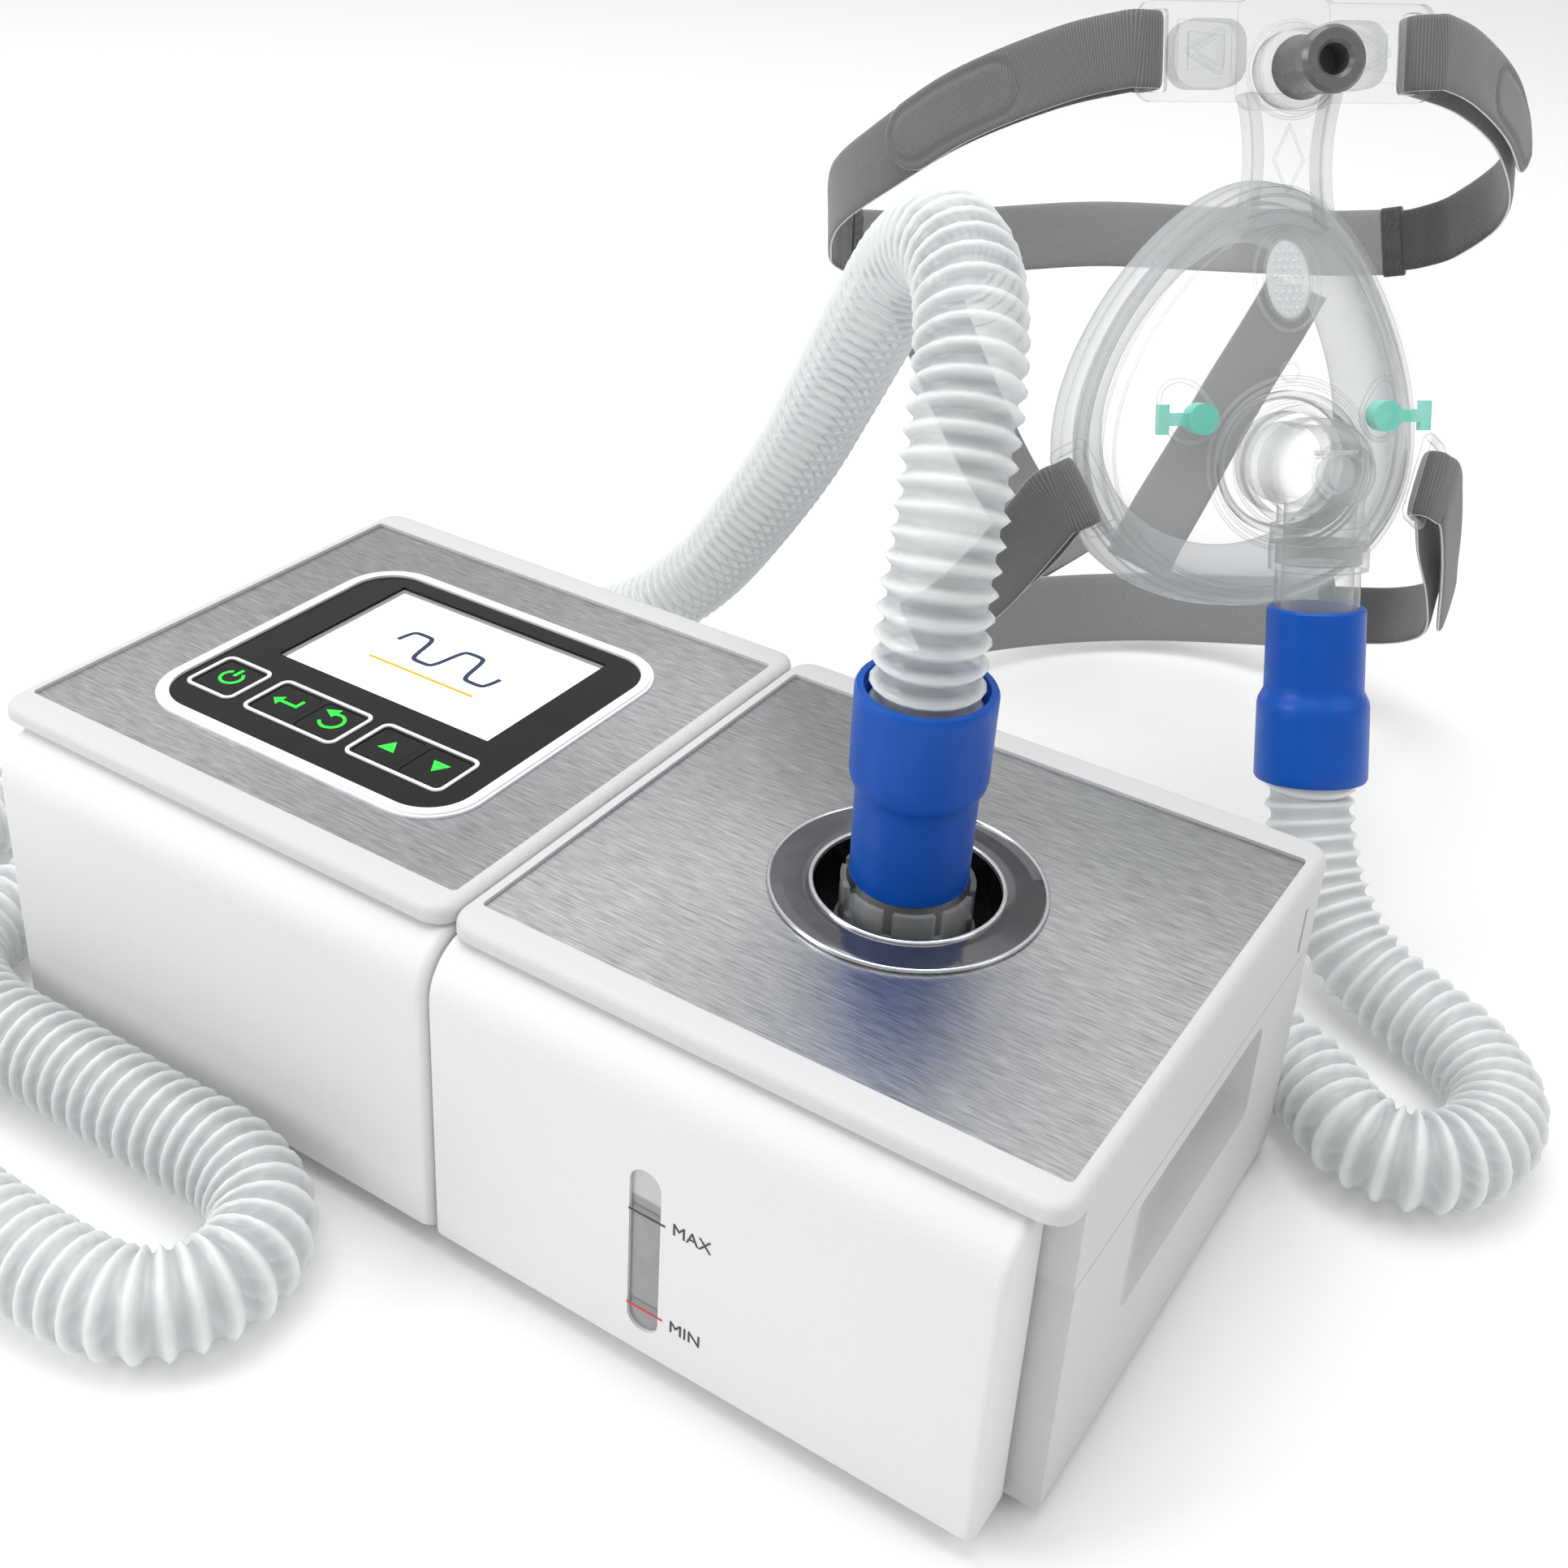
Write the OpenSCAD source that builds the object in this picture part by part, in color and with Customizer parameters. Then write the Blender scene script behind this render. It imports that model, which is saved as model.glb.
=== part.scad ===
// Bilevel ventilator: main unit, heated humidifier, breathing hose,
// full-face mask and its headgear. Millimetres, +Z up, front towards -Y.
// The origin is on the table, at the centre of the two units' base.

/* [Cases] */
// Width of each of the two units
unit_w = 139.4; // [136:0.2:146]
// Depth of the units from front panel to back
case_d = 144; // [140:1:150]
// Height of the top rims above the table
case_h = 86; // [82:0.5:92]
// Gap at the seam between the two units
seam_gap = 0.6; // [0.4:0.1:1.2]
// Height of the rubber feet
foot_h = 3; // [2:0.5:4]
// Thickness of the case walls
wall = 2.6; // [2:0.1:3]
// Radius of the cases' upright corners
corner_r = 6; // [3:0.5:8]
// Height at which the top frames meet the cases
split_z = 62; // [58:0.5:66]

/* [Front panels] */
// Thickness of the front panels
panel_t = 14.5; // [12:0.5:15]
// Height of the panels' top surface
panel_top = 81.6; // [78:0.2:82]
// Radius of the rolled top front edge
panel_roll_r = 13; // [8:0.5:14]
// Inset of the panels from the cases' outer sides
panel_inset = 6.5; // [4:0.5:10]

/* [Top plates] */
// Width of the brushed plates
plate_w = 132.4; // [128:0.2:134]
// Depth of the brushed plates
plate_d = 120; // [116:0.5:122]
// Thickness of the brushed plates
plate_t = 0.8; // [0.6:0.1:1]
// Lip of the rim above the plates
rim_lip = 0.9; // [0.5:0.1:1.5]

/* [Display] */
// Width of the display surround
bezel_w = 98; // [90:0.5:104]
// Depth of the display surround
bezel_d = 90; // [84:0.5:94]
// Corner radius of the display surround
bezel_r = 15; // [8:0.5:20]
// Width of the surround's pale ring
bezel_ring_w = 3.2; // [2:0.1:4]
// Width of the screen
lcd_w = 68; // [60:0.5:72]
// Depth of the screen
lcd_d = 46; // [40:0.5:50]
// Size of one key
key_w = 12.2; // [10:0.1:12.6]

/* [Outlet] */
// Outer radius of the ring around the outlet
ring_r = 30; // [28:0.5:32]
// Radius of the cup in the ring
cup_r = 20; // [18:0.5:22]
// Depth of the cup below the plate
cup_depth = 11; // [9:0.5:12]
// Outer radius of the outlet's standard taper, drawn straight
taper_r = 11; // [11:0.1:11]

/* [Hose] */
// Outer radius of the hose over its rings
hose_r = 12; // [11:0.1:12.2]
// Length of a hose cuff
cuff_l = 46; // [44:1:48]
// Outer radius of a cuff's narrow end
cuff_small_r = 12.7; // [12.5:0.1:13]
// Outer radius of a cuff's wide end
cuff_wide_r = 14.7; // [14.4:0.1:15]

/* [Tank] */
// Width of the water tank
tank_w = 104; // [96:1:105]
// Depth of the water tank behind the drawer's front
tank_d = 108; // [100:1:112]
// Width of the level window
window_w = 7.6; // [6:0.2:9]
// Height of the level window
window_h = 43; // [38:0.5:46]

/* [Mask] */
// Place of the mask's elbow socket
mask_at = [82, 185, 124];
// Lean of the mask away from upright
mask_lean = 19; // [15:0.5:22]
// Turn of the mask about the vertical
mask_turn = 42; // [38:0.5:46]
// Half width of the mask's rim
mask_hw = 46; // [44:0.5:47]
// Half height of the mask's rim
mask_hh = 55; // [53:0.5:56]
// Width of the headgear straps
strap_w = 20; // [18:0.5:20.5]
// Thickness of the headgear straps
strap_t = 2; // [1.6:0.1:2.2]

/* [Hidden] */
$fn = 64;
front_y = -case_d / 2;
back_y = case_d / 2;
panel_back = front_y + panel_t;
case_front = panel_back + 1.5;
rim_front = front_y + 7;
unit_x = (unit_w + seam_gap) / 2;
plate_y = 3;
plate_z = case_h - rim_lip;
deck_z = plate_z - plate_t;
disp_y = 2;
lcd_y = 15.6;
key_y = -23.4;
key_pitch = 14.4;
power_x = -105.4;
enter_x = -79 - key_pitch / 2;
back_x = -79 + key_pitch / 2;
up_x = -46 - key_pitch / 2;
down_x = -46 + key_pitch / 2;
key_top = plate_z + 0.1;
cup_z = plate_z - cup_depth;
cuff_z = 88;
cuff_step = 24;
tank_z = foot_h + wall + 4.7;
tank_top = 57;
tank_x = 14;
tank_front = panel_back + 0.2;
window_x = 57;
window_z = 33.5;
blower_x = -78;
blower_y = 12;
filter_x = -85;
filter_w = 50;
filter_z = 32;
filter_h = 26;
inlet_x = -48;
inlet_z = 40;
mask_cuff_z = -36;
arm_z = 104;

// The hose's centre line, from inside the outlet's cuff to inside the mask's
hose_route = [
    [70, 3, 115], [70, 3, 138], [69, 6, 156], [66, 15, 176], [60, 28, 194],
    [50, 43, 205], [36, 58, 206], [20, 74, 194], [4, 89, 173], [-13, 103, 147],
    [-32, 118, 118], [-53, 131, 89], [-75, 142, 61], [-98, 149, 38],
    [-122, 152, 21], [-148, 149, 13], [-172, 138, 12.5], [-189, 119, 12.5],
    [-197, 94, 12.5], [-199, 60, 12.5], [-199, 20, 12.5], [-199, -20, 12.5],
    [-197, -56, 12.5], [-188, -88, 12.5], [-170, -111, 12.5],
    [-143, -124, 12.5], [-112, -130, 12.5], [-80, -132, 12.5],
    [-48, -132, 12.5], [-29, -127, 12.5], [-20, -112, 12.5],
    [-25, -97, 12.5], [-42, -89, 12.5], [-72, -89, 12.5], [-102, -89, 12.5],
    [-126, -89, 12.5], [-146, -82, 12.5], [-156, -65, 12.5],
    [-158, -30, 12.5], [-158, 10, 12.5], [-158, 52, 12.5], [-155, 76, 12.5],
    [-140, 91, 12.5], [-112, 94, 12.5], [-70, 94, 12.5], [-30, 94, 12.5],
    [10, 94, 12.5], [50, 94, 12.5], [90, 94, 12.5], [120, 92, 12.5],
    [142, 84, 12.5], [158, 72, 12.5], [173, 72, 12.5], [183, 84, 12.5],
    [183, 102, 12.5], [171, 117, 12.5], [154, 126, 13], [138, 132, 17],
    [126, 139, 26], [118.5, 145, 37], [113.8, 149.6, 47.3], [112.5, 151.1, 53],
    [108.4, 155.7, 70.8]
];

// The headgear's routes, in the mask's own frame
upper_side = [
    [98, 57, 86], [82, 39, 97], [60, 19, 106], [46, 8.8, 109], [41, 6.6, 109],
    [36.6, 8, 109], [35.6, 13, 109], [37, 19, 109], [42, 22, 109],
    [60, 29, 105], [82, 46, 96], [98, 66, 85], [106, 88, 76], [104, 110, 67],
    [98.6, 121, 63.6], [93.4, 128.6, 62.4]
];
upper_back = [
    [-92, 130.4, 62.2], [-86, 136, 62.2], [-72, 144.5, 62.4], [-40, 154, 64], [0, 158, 66],
    [40, 154, 64], [72, 144.5, 62.4], [86, 136, 62.2], [92, 130.4, 62.2]
];
lower_side = [
    [80.5, 60, -50], [71, 42.5, -35.5], [62.5, 27.5, -19], [58.8, 22, -12],
    [55.4, 19.8, -10], [52.8, 18.9, -8.6], [50.4, 20.7, -8.1], [49.6, 23.5, -8.6],
    [51.3, 25.7, -10], [54.5, 27.9, -12], [60, 35.5, -22], [69, 47, -35],
    [77, 62, -48], [81, 78, -55], [79.5, 98, -60], [68, 118, -62]
];
lower_back = [
    [-68.3, 118.5, -62], [-44, 138, -63], [-20, 148, -63], [0, 151, -63],
    [20, 148, -63], [44, 138, -63], [68.3, 118.5, -62]
];
crown_side = [
    [66, 144.5, 48], [60, 149, 34], [48, 155, 10], [34, 158, -16], [20, 155, -38],
    [14, 153, -49]
];

// ---------- shared shapes ----------

// Block between two corners, with round upright edges
module pillar_box(lo, hi, r) {
    translate([lo[0] + r, lo[1] + r, lo[2]])
        linear_extrude(hi[2] - lo[2])
            offset(r = r)
                square([hi[0] - lo[0] - 2 * r, hi[1] - lo[1] - 2 * r]);
}

// Plain block between two corners
module block(lo, hi) {
    translate(lo) cube(hi - lo);
}

// Block with round upright edges and rounded top or bottom edges
module soft_box(lo, hi, r, top_r, bottom_r) {
    hull() {
        for (x = [lo[0] + r, hi[0] - r], y = [lo[1] + r, hi[1] - r]) {
            translate([x, y, 0]) rotate_extrude($fn = 32) soft_profile(lo[2], hi[2], r, top_r, bottom_r);
        }
    }
}

// Half outline of one rounded upright edge
module soft_profile(z0, z1, r, top_r, bottom_r) {
    polygon(concat(
        [[0, z0], [r - bottom_r, z0]],
        [for (a = [-90:22.5:0]) if (bottom_r > 0)
            [r - bottom_r + bottom_r * cos(a), z0 + bottom_r + bottom_r * sin(a)]],
        [if (bottom_r == 0) [r, z0]],
        [for (a = [0:22.5:90]) if (top_r > 0) [r - top_r + top_r * cos(a), z1 - top_r + top_r * sin(a)]],
        [if (top_r == 0) [r, z1]],
        [[0, z1]]
    ));
}

// Flat ring or disc with a hole, lying in XY
module washer(outer, inner, h) {
    difference() {
        cylinder(r = outer, h = h);
        translate([0, 0, -1]) cylinder(r = inner, h = h + 2);
    }
}

// Rounded rectangle centred on the origin
module rounded_plate(w, d, r, h) {
    linear_extrude(h) offset(r = r) square([w - 2 * r, d - 2 * r], center = true);
}

// Skin through closed rings of points, capped at both ends
module capped_loft(rings) {
    n = len(rings[0]);
    m = len(rings);
    polyhedron(
        points = [for (ring = rings) each ring],
        faces = concat(
            [[for (i = [0:n - 1]) i]],
            [for (k = [0:m - 2], i = [0:n - 1]) let (j = (i + 1) % n)
                each [[k * n + i, (k + 1) * n + i, (k + 1) * n + j],
                    [k * n + i, (k + 1) * n + j, k * n + j]]],
            [[for (i = [n - 1:-1:0]) (m - 1) * n + i]]
        )
    );
}

// Skin through closed rings of points, where the last ring meets the first
module ring_loft(rings) {
    n = len(rings[0]);
    m = len(rings);
    polyhedron(
        points = [for (ring = rings) each ring],
        faces = [for (k = [0:m - 1], i = [0:n - 1]) let (j = (i + 1) % n, l = (k + 1) % m)
            each [[k * n + i, l * n + i, l * n + j], [k * n + i, l * n + j, k * n + j]]]
    );
}

function unit(v) = v / norm(v);
function along(route, i) =
    unit(route[min(i + 1, len(route) - 1)] - route[max(i - 1, 0)]);

// Carries a side direction along a route without twist
function carried(route, i, side) =
    i == 0 ? side : let (s = carried(route, i - 1, side), t = along(route, i)) unit(s - (s * t) * t);

// Round tube swept along a route
module tube_along(route, r, sides) {
    capped_loft([for (i = [0:len(route) - 1])
        let (t = along(route, i), u = carried(route, i, [0, -1, 0]), v = cross(t, u))
            [for (k = [0:sides - 1]) route[i] + r * (cos(360 * k / sides) * u + sin(360 * k / sides) * v)]]);
}

// Flat strap swept along a route, its width kept as upright as the route lets it be
module strap_along(route, w, t, up = [0, 0, 1]) {
    capped_loft([for (i = [0:len(route) - 1])
        let (d = along(route, i), u = unit(up - (up * d) * d), n = cross(d, u))
            [for (c = [[-1, -1], [1, -1], [1, 1], [-1, 1]]) route[i] + c[0] * w / 2 * u + c[1] * t / 2 * n]]);
}

// Places a piece drawn in the mask's frame: X to its left eye, Y into the face
module on_mask() {
    translate(mask_at) rotate([-mask_lean, 0, mask_turn]) children();
}

// ---------- main unit and humidifier cases ----------

// Lower shell of a unit, open to the front and to the top
// Front flange of a unit's outer wall, beside the back of the front panel
module front_flange(s, y, z0, z1) {
    x = s * (unit_x + unit_w / 2 - wall);
    block([min(x - 17.6 * s, x + 0.1 * s), y, z0], [max(x - 17.6 * s, x + 0.1 * s), y + 2, z1]);
}

module case_shell(s) {
    lo = [s * unit_x - unit_w / 2, case_front, foot_h];
    hi = [s * unit_x + unit_w / 2, back_y, split_z - 0.3];
    front_flange(s, case_front, foot_h + wall - 0.1, split_z - 0.3);
    difference() {
        soft_box([lo[0], lo[1] - corner_r, lo[2]], hi, corner_r, 0, 2);
        block([lo[0] - 1, lo[1] - corner_r - 1, 0], [hi[0] + 1, lo[1], case_h]);
        block([lo[0] + wall, lo[1] - 1, lo[2] + wall], [hi[0] - wall, hi[1] - wall, case_h]);
        for (x = [-1, 1], y = [-1, 1]) {
            translate([s * unit_x + 60 * x, 4 + 56 * y, 0]) cylinder(r = 1.6, h = 14);
            translate([s * unit_x + 60 * x, 4 + 56 * y, 0]) cylinder(r = 3.2, h = foot_h + 1.2);
        }
    }
}

// Top frame of a unit: rim, shallow plate recess and skirt
module top_frame(s) {
    lo = [s * unit_x - unit_w / 2, rim_front, split_z];
    hi = [s * unit_x + unit_w / 2, back_y, case_h];
    px = s * unit_x;
    front_flange(s, panel_back + 0.5, split_z, deck_z - wall + 0.5);
    difference() {
        soft_box(lo, hi, corner_r, 2.2, 0);
        block([lo[0] - 1, rim_front - 1, split_z - 1], [hi[0] + 1, panel_back + 0.5, panel_top + 0.3]);
        block([lo[0] + wall, rim_front, split_z - 1], [hi[0] - wall, back_y - wall, deck_z - wall + 0.4]);
        translate([px, plate_y, deck_z])
            rounded_plate(plate_w + 0.4, plate_d + 0.4, 1.2, 4);
    }
}

// Front panel with its rolled top edge, between two X values
module front_slab(x0, x1) {
    edge = 2.2;
    outline = concat(
        [[panel_back, foot_h + 1], [front_y + 2, foot_h + 1], [front_y, foot_h + 3]],
        [for (a = [0:10:90])
            [front_y + panel_roll_r * (1 - cos(a)), panel_top - panel_roll_r * (1 - sin(a))]],
        [[panel_back, panel_top]]
    );
    hull() {
        for (a = [0:22.5:90]) {
            inset = edge * (1 - sin(a));
            translate([x0 + inset, 0, 0]) rotate([90, 0, 90]) linear_extrude(x1 - x0 - 2 * inset)
                offset(delta = -edge * (1 - cos(a))) polygon(outline);
        }
    }
}

module main_case() {
    color("gainsboro")
    difference() {
        union() {
            case_shell(-1);
            block([filter_x - filter_w / 2 - 3, back_y - 15, filter_z - 3],
                [filter_x + filter_w / 2 + 3, back_y - 0.1, filter_z + filter_h + 3]);
        }
        block([filter_x - filter_w / 2, back_y - 13, filter_z],
            [filter_x + filter_w / 2, back_y + 1, filter_z + filter_h]);
        block([filter_x - 20, back_y - 16, filter_z + 4],
            [filter_x + 20, back_y - 12, filter_z + filter_h - 4]);
        translate([inlet_x, back_y - 5, inlet_z]) rotate([-90, 0, 0]) cylinder(r = 6, h = 8);
        translate([-10, 40, 42]) rotate([0, 90, 0]) cylinder(r = 11.2, h = 20);
    }
}

module main_top_frame() {
    color("gainsboro")
    difference() {
        top_frame(-1);
        translate([-unit_x, disp_y, deck_z - 6]) rounded_plate(bezel_w - 6, bezel_d - 6, bezel_r - 3, 12);
    }
}

module main_front_panel() {
    color("whitesmoke") front_slab(-unit_x - unit_w / 2 + panel_inset, -seam_gap / 2);
}

module main_plate() {
    color("silver")
    difference() {
        translate([-unit_x, plate_y, deck_z]) rounded_plate(plate_w, plate_d, 1, plate_t);
        translate([-unit_x, disp_y, deck_z - 1]) rounded_plate(bezel_w - 4, bezel_d - 4, bezel_r - 2, 4);
    }
}

module bezel_ring() {
    color("white")
    translate([-unit_x, disp_y, deck_z])
    difference() {
        union() {
            translate([0, 0, plate_t]) rounded_plate(bezel_w, bezel_d, bezel_r, 0.5);
            translate([0, 0, plate_t + 0.5]) rounded_plate(bezel_w - 1.6, bezel_d - 1.6, bezel_r - 0.8, 0.4);
            rounded_plate(bezel_w - 4.2, bezel_d - 4.2, bezel_r - 2.1, plate_t);
        }
        translate([0, 0, -1])
            rounded_plate(bezel_w - 2 * bezel_ring_w, bezel_d - 2 * bezel_ring_w, bezel_r - bezel_ring_w, 6);
    }
}

// The five keys' places
function key_places() = [power_x, enter_x, back_x, up_x, down_x];

module display_panel() {
    w = bezel_w - 2 * bezel_ring_w - 0.2;
    d = bezel_d - 2 * bezel_ring_w - 0.2;
    color("black")
    difference() {
        translate([-unit_x, disp_y, deck_z - 1.6])
            rounded_plate(w, d, bezel_r - bezel_ring_w, key_top - deck_z + 1.8);
        block([-unit_x - 1 - lcd_w / 2, lcd_y - lcd_d / 2, deck_z - 3],
            [-unit_x - 1 + lcd_w / 2, lcd_y + lcd_d / 2, case_h + 1]);
        for (x = key_places()) {
            translate([x, key_y, deck_z - 3]) rounded_plate(key_w + 0.4, key_w + 0.4, 1.4, 8);
        }
    }
}

module lcd_screen() {
    color("aliceblue")
    translate([-unit_x - 1, lcd_y, deck_z - 4.4]) {
        rounded_plate(lcd_w - 0.3, lcd_d - 0.3, 0.4, 4.5);
    }
}

module key_frames() {
    color("white")
    for (f = [[power_x, 15.4], [-79, 29.6], [-46, 29.6]]) {
        translate([f[0], key_y, key_top + 0.2])
        difference() {
            rounded_plate(f[1], 15.8, 2.4, 0.35);
            translate([0, 0, -1]) rounded_plate(f[1] - 1.8, 14, 1.6, 3);
        }
    }
}

module key(x) {
    color("dimgray") translate([x, key_y, deck_z - 1.4])
        rounded_plate(key_w, key_w, 1.2, key_top - deck_z + 1.5);
}

module key_power() { key(power_x); }
module key_enter() { key(enter_x); }
module key_back() { key(back_x); }
module key_up() { key(up_x); }
module key_down() { key(down_x); }

// Circuit board below the display, with its larger components
module main_board() {
    color("seagreen") {
        block([-126, -48, 66], [-20, 50, 67.6]);
        block([-122, -44, 67.6], [-100, -12, 71]);
        block([-60, 10, 67.6], [-30, 40, 70]);
        block([-120, 20, 67.6], [-96, 44, 73]);
        translate([-84, -30, 67.6]) cylinder(r = 5, h = 9);
        translate([-70, -30, 67.6]) cylinder(r = 5, h = 9);
        block([-28, -6, 60], [-22, 26, 66]);
    }
}

// Volute housing of the blower, with its outlet towards the seam
module blower_housing() {
    color("dimgray")
    difference() {
        union() {
            translate([blower_x, blower_y, 12]) cylinder(r = 38, h = 32);
            translate([blower_x, blower_y + 28, 42]) rotate([0, 90, 0]) cylinder(r = 11, h = 46);
            for (a = [45:90:315]) translate([blower_x + 41 * cos(a), blower_y + 41 * sin(a), foot_h + wall]) {
                cylinder(r = 4, h = 14);
            }
        }
        translate([blower_x, blower_y, 14.5]) cylinder(r = 35, h = 27);
        translate([blower_x, blower_y, 11]) cylinder(r = 14, h = 6);
        translate([blower_x, blower_y, 40]) cylinder(r = 16, h = 6);
        translate([blower_x + 20, blower_y + 28, 42]) rotate([0, 90, 0]) cylinder(r = 9, h = 40);
        translate([blower_x, blower_y, 44]) cylinder(r = 39, h = 12);
    }
}

module blower_motor() {
    color("silver")
    translate([blower_x, blower_y, 0]) {
        translate([0, 0, 41.5]) cylinder(r = 15.9, h = 16);
        translate([0, 0, 44]) washer(22, 15, 2);
        translate([0, 0, 17]) cylinder(r = 2, h = 25);
    }
}

module blower_impeller() {
    color("lightgray")
    translate([blower_x, blower_y, 0])
    difference() {
        union() {
            translate([0, 0, 32]) cylinder(r = 29, h = 1.6);
            translate([0, 0, 19]) cylinder(r = 6, h = 14);
            for (a = [0:30:330]) rotate([0, 0, a]) translate([14, 0, 20])
                rotate([0, 0, 35]) translate([-7, -0.7, 0]) cube([17, 1.4, 12.5]);
        }
        translate([0, 0, 18]) cylinder(r = 2.05, h = 20);
    }
}

// Short pipe that carries the air across the seam to the tank
module air_duct() {
    color("dimgray")
    translate([blower_x + 46.2, blower_y + 28, 42])
        rotate([0, 90, 0]) washer(11, 9, tank_x - 1.2 - (blower_x + 46.2));
}

module filter_foam() {
    color("lightsteelblue")
        block([filter_x - filter_w / 2 + 0.4, back_y - 12.6, filter_z + 0.4],
            [filter_x + filter_w / 2 - 0.4, back_y - 4, filter_z + filter_h - 0.4]);
}

// Cover of the air filter: its rounded lower edge is the hinge, and it has seven slots
module filter_cover() {
    color("gainsboro")
    difference() {
        union() {
            block([filter_x - filter_w / 2 + 0.3, back_y - 2.5, filter_z + 1.55],
                [filter_x + filter_w / 2 - 0.3, back_y, filter_z + filter_h - 0.3]);
            translate([filter_x - filter_w / 2 + 0.3, back_y - 1.25, filter_z + 1.55])
                rotate([0, 90, 0]) cylinder(r = 1.25, h = filter_w - 0.6);
        }
        for (i = [-3:3]) {
            block([filter_x + 6 * i - 1.2, back_y - 4, filter_z + 5],
                [filter_x + 6 * i + 1.2, back_y + 1, filter_z + filter_h - 5]);
        }
    }
}

module power_inlet() {
    color("black")
    translate([inlet_x, back_y, inlet_z]) rotate([90, 0, 0])
    difference() {
        union() {
            translate([0, 0, -0.8]) washer(7.6, 5, 0.8);
            cylinder(r = 5.9, h = 15);
        }
        translate([0, 0, -2]) cylinder(r = 2.8, h = 13);
    }
}

module feet() {
    color("darkslategray")
    for (s = [-1, 1], x = [-1, 1], y = [-1, 1]) {
        translate([s * unit_x + 48 * x, 4 + 52 * y, 0]) cylinder(r = 7, h = foot_h);
    }
}

// Plate screwed under the seam, which holds the two units together
module docking_plate() {
    color("gainsboro")
    difference() {
        rounded_plate(64, 40, 5, foot_h);
        for (x = [-24, 24], y = [-12, 12]) translate([x, y, -1]) cylinder(r = 3, h = foot_h);
    }
}

module case_screws() {
    color("silver")
    for (s = [-1, 1], x = [-1, 1], y = [-1, 1]) {
        translate([s * unit_x + 60 * x, 4 + 56 * y, foot_h + 0.2]) {
            difference() {
                cylinder(r = 3, h = 1);
                translate([-1.8, -0.4, -1]) cube([3.6, 0.8, 1.5]);
                translate([-0.4, -1.8, -1]) cube([0.8, 3.6, 1.5]);
            }
            translate([0, 0, 1]) cylinder(r = 1.5, h = 8);
        }
    }
}

// Humidifier's shell, with the sloping finger grip in its outer side
module humidifier_case() {
    side_x = unit_x + unit_w / 2;
    color("gainsboro")
    difference() {
        union() {
            case_shell(1);
            block([side_x - 18, -32, 27], [side_x - 1, 46, split_z - 0.3]);
        }
        hull() {
            for (y = [-24, 37], z = [35, 53.5]) {
                translate([side_x - 0.2, y, z]) rotate([0, 90, 0]) cylinder(r = 4, h = 3, $fn = 32);
            }
            for (z = [37, 51.5]) {
                translate([side_x - 9, 33, z]) sphere(r = 6, $fn = 32);
            }
        }
        translate([-10, 40, 42]) rotate([0, 90, 0]) cylinder(r = 11.2, h = 20);
    }
}

module humidifier_top_frame() {
    side_x = unit_x + unit_w / 2;
    color("gainsboro")
    difference() {
        top_frame(1);
        translate([unit_x, plate_y, split_z]) cylinder(r = cup_r + 4, h = 40);
        block([side_x - 1.4, 57.2, 65.5], [side_x + 1, 58.8, 77.5]);
    }
}

module humidifier_plate() {
    color("silver")
    difference() {
        translate([unit_x, plate_y, deck_z]) rounded_plate(plate_w, plate_d, 1, plate_t);
        translate([unit_x, plate_y, deck_z - 1]) cylinder(r = cup_r + 4, h = 4);
    }
}

module heater_plate() {
    color("silver")
    translate([tank_x + tank_w / 2, -2, foot_h + wall]) {
        cylinder(r = 46, h = 2.4);
        translate([0, 0, 2.4]) cylinder(r = 42, h = 1.8);
    }
}

module drawer_front() {
    color("whitesmoke")
    difference() {
        front_slab(seam_gap / 2 + 0.4, unit_x + unit_w / 2 - panel_inset);
        translate([window_x, front_y - 1, window_z]) rotate([-90, 0, 0])
            stadium(window_w, window_h, panel_t + 2);
    }
}

// Long hole or bar with round ends, its length along Y
module stadium(w, l, h) {
    translate([-w / 2, -(l - w) / 2, 0]) cube([w, l - w, h]);
    for (y = [-1, 1]) translate([0, y * (l - w) / 2, 0]) cylinder(r = w / 2, h = h);
}

module level_window() {
    color("lightcyan")
    translate([window_x, front_y + 0.8, window_z]) rotate([-90, 0, 0])
        stadium(window_w - 0.1, window_h - 0.1, panel_t - 0.8);
}

module water_tank() {
    color("lightcyan")
    difference() {
        pillar_box([tank_x, tank_front, tank_z], [tank_x + tank_w, tank_front + tank_d, tank_top], 5);
        pillar_box([tank_x + 2, tank_front + 2, tank_z + 2],
            [tank_x + tank_w - 2, tank_front + tank_d - 2, tank_top + 2], 4);
        translate([tank_x - 1, 40, 42]) rotate([0, 90, 0]) cylinder(r = 9, h = 5);
    }
}

module tank_lid() {
    color("lightblue")
    difference() {
        union() {
            pillar_box([tank_x, tank_front, tank_top],
                [tank_x + tank_w, tank_front + tank_d, tank_top + 2.4], 5);
            translate([unit_x, plate_y, tank_top + 2.4]) cylinder(r = 13, h = 1.2);
        }
        translate([unit_x, plate_y, tank_top - 1]) cylinder(r = 9.4, h = 8);
        pillar_box([tank_x + 10, -44, tank_top + 1.4], [tank_x + tank_w - 10, -20, tank_top + 3], 4);
    }
}

// Face seal between the tank's lid and the outlet pipe
module outlet_seal() {
    color("dimgray") translate([unit_x, plate_y, tank_top + 4]) washer(13.5, 9.4, 2.4);
}

module port_ring() {
    color("dimgray")
    translate([unit_x, plate_y, plate_z])
    rotate_extrude($fn = 96)
        polygon([
            [cup_r, 0], [ring_r, 0], [ring_r, 0.4], [ring_r - 0.5, 0.7], [cup_r + 0.9, 0.5],
            [cup_r, 0.2]]);
}

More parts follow.
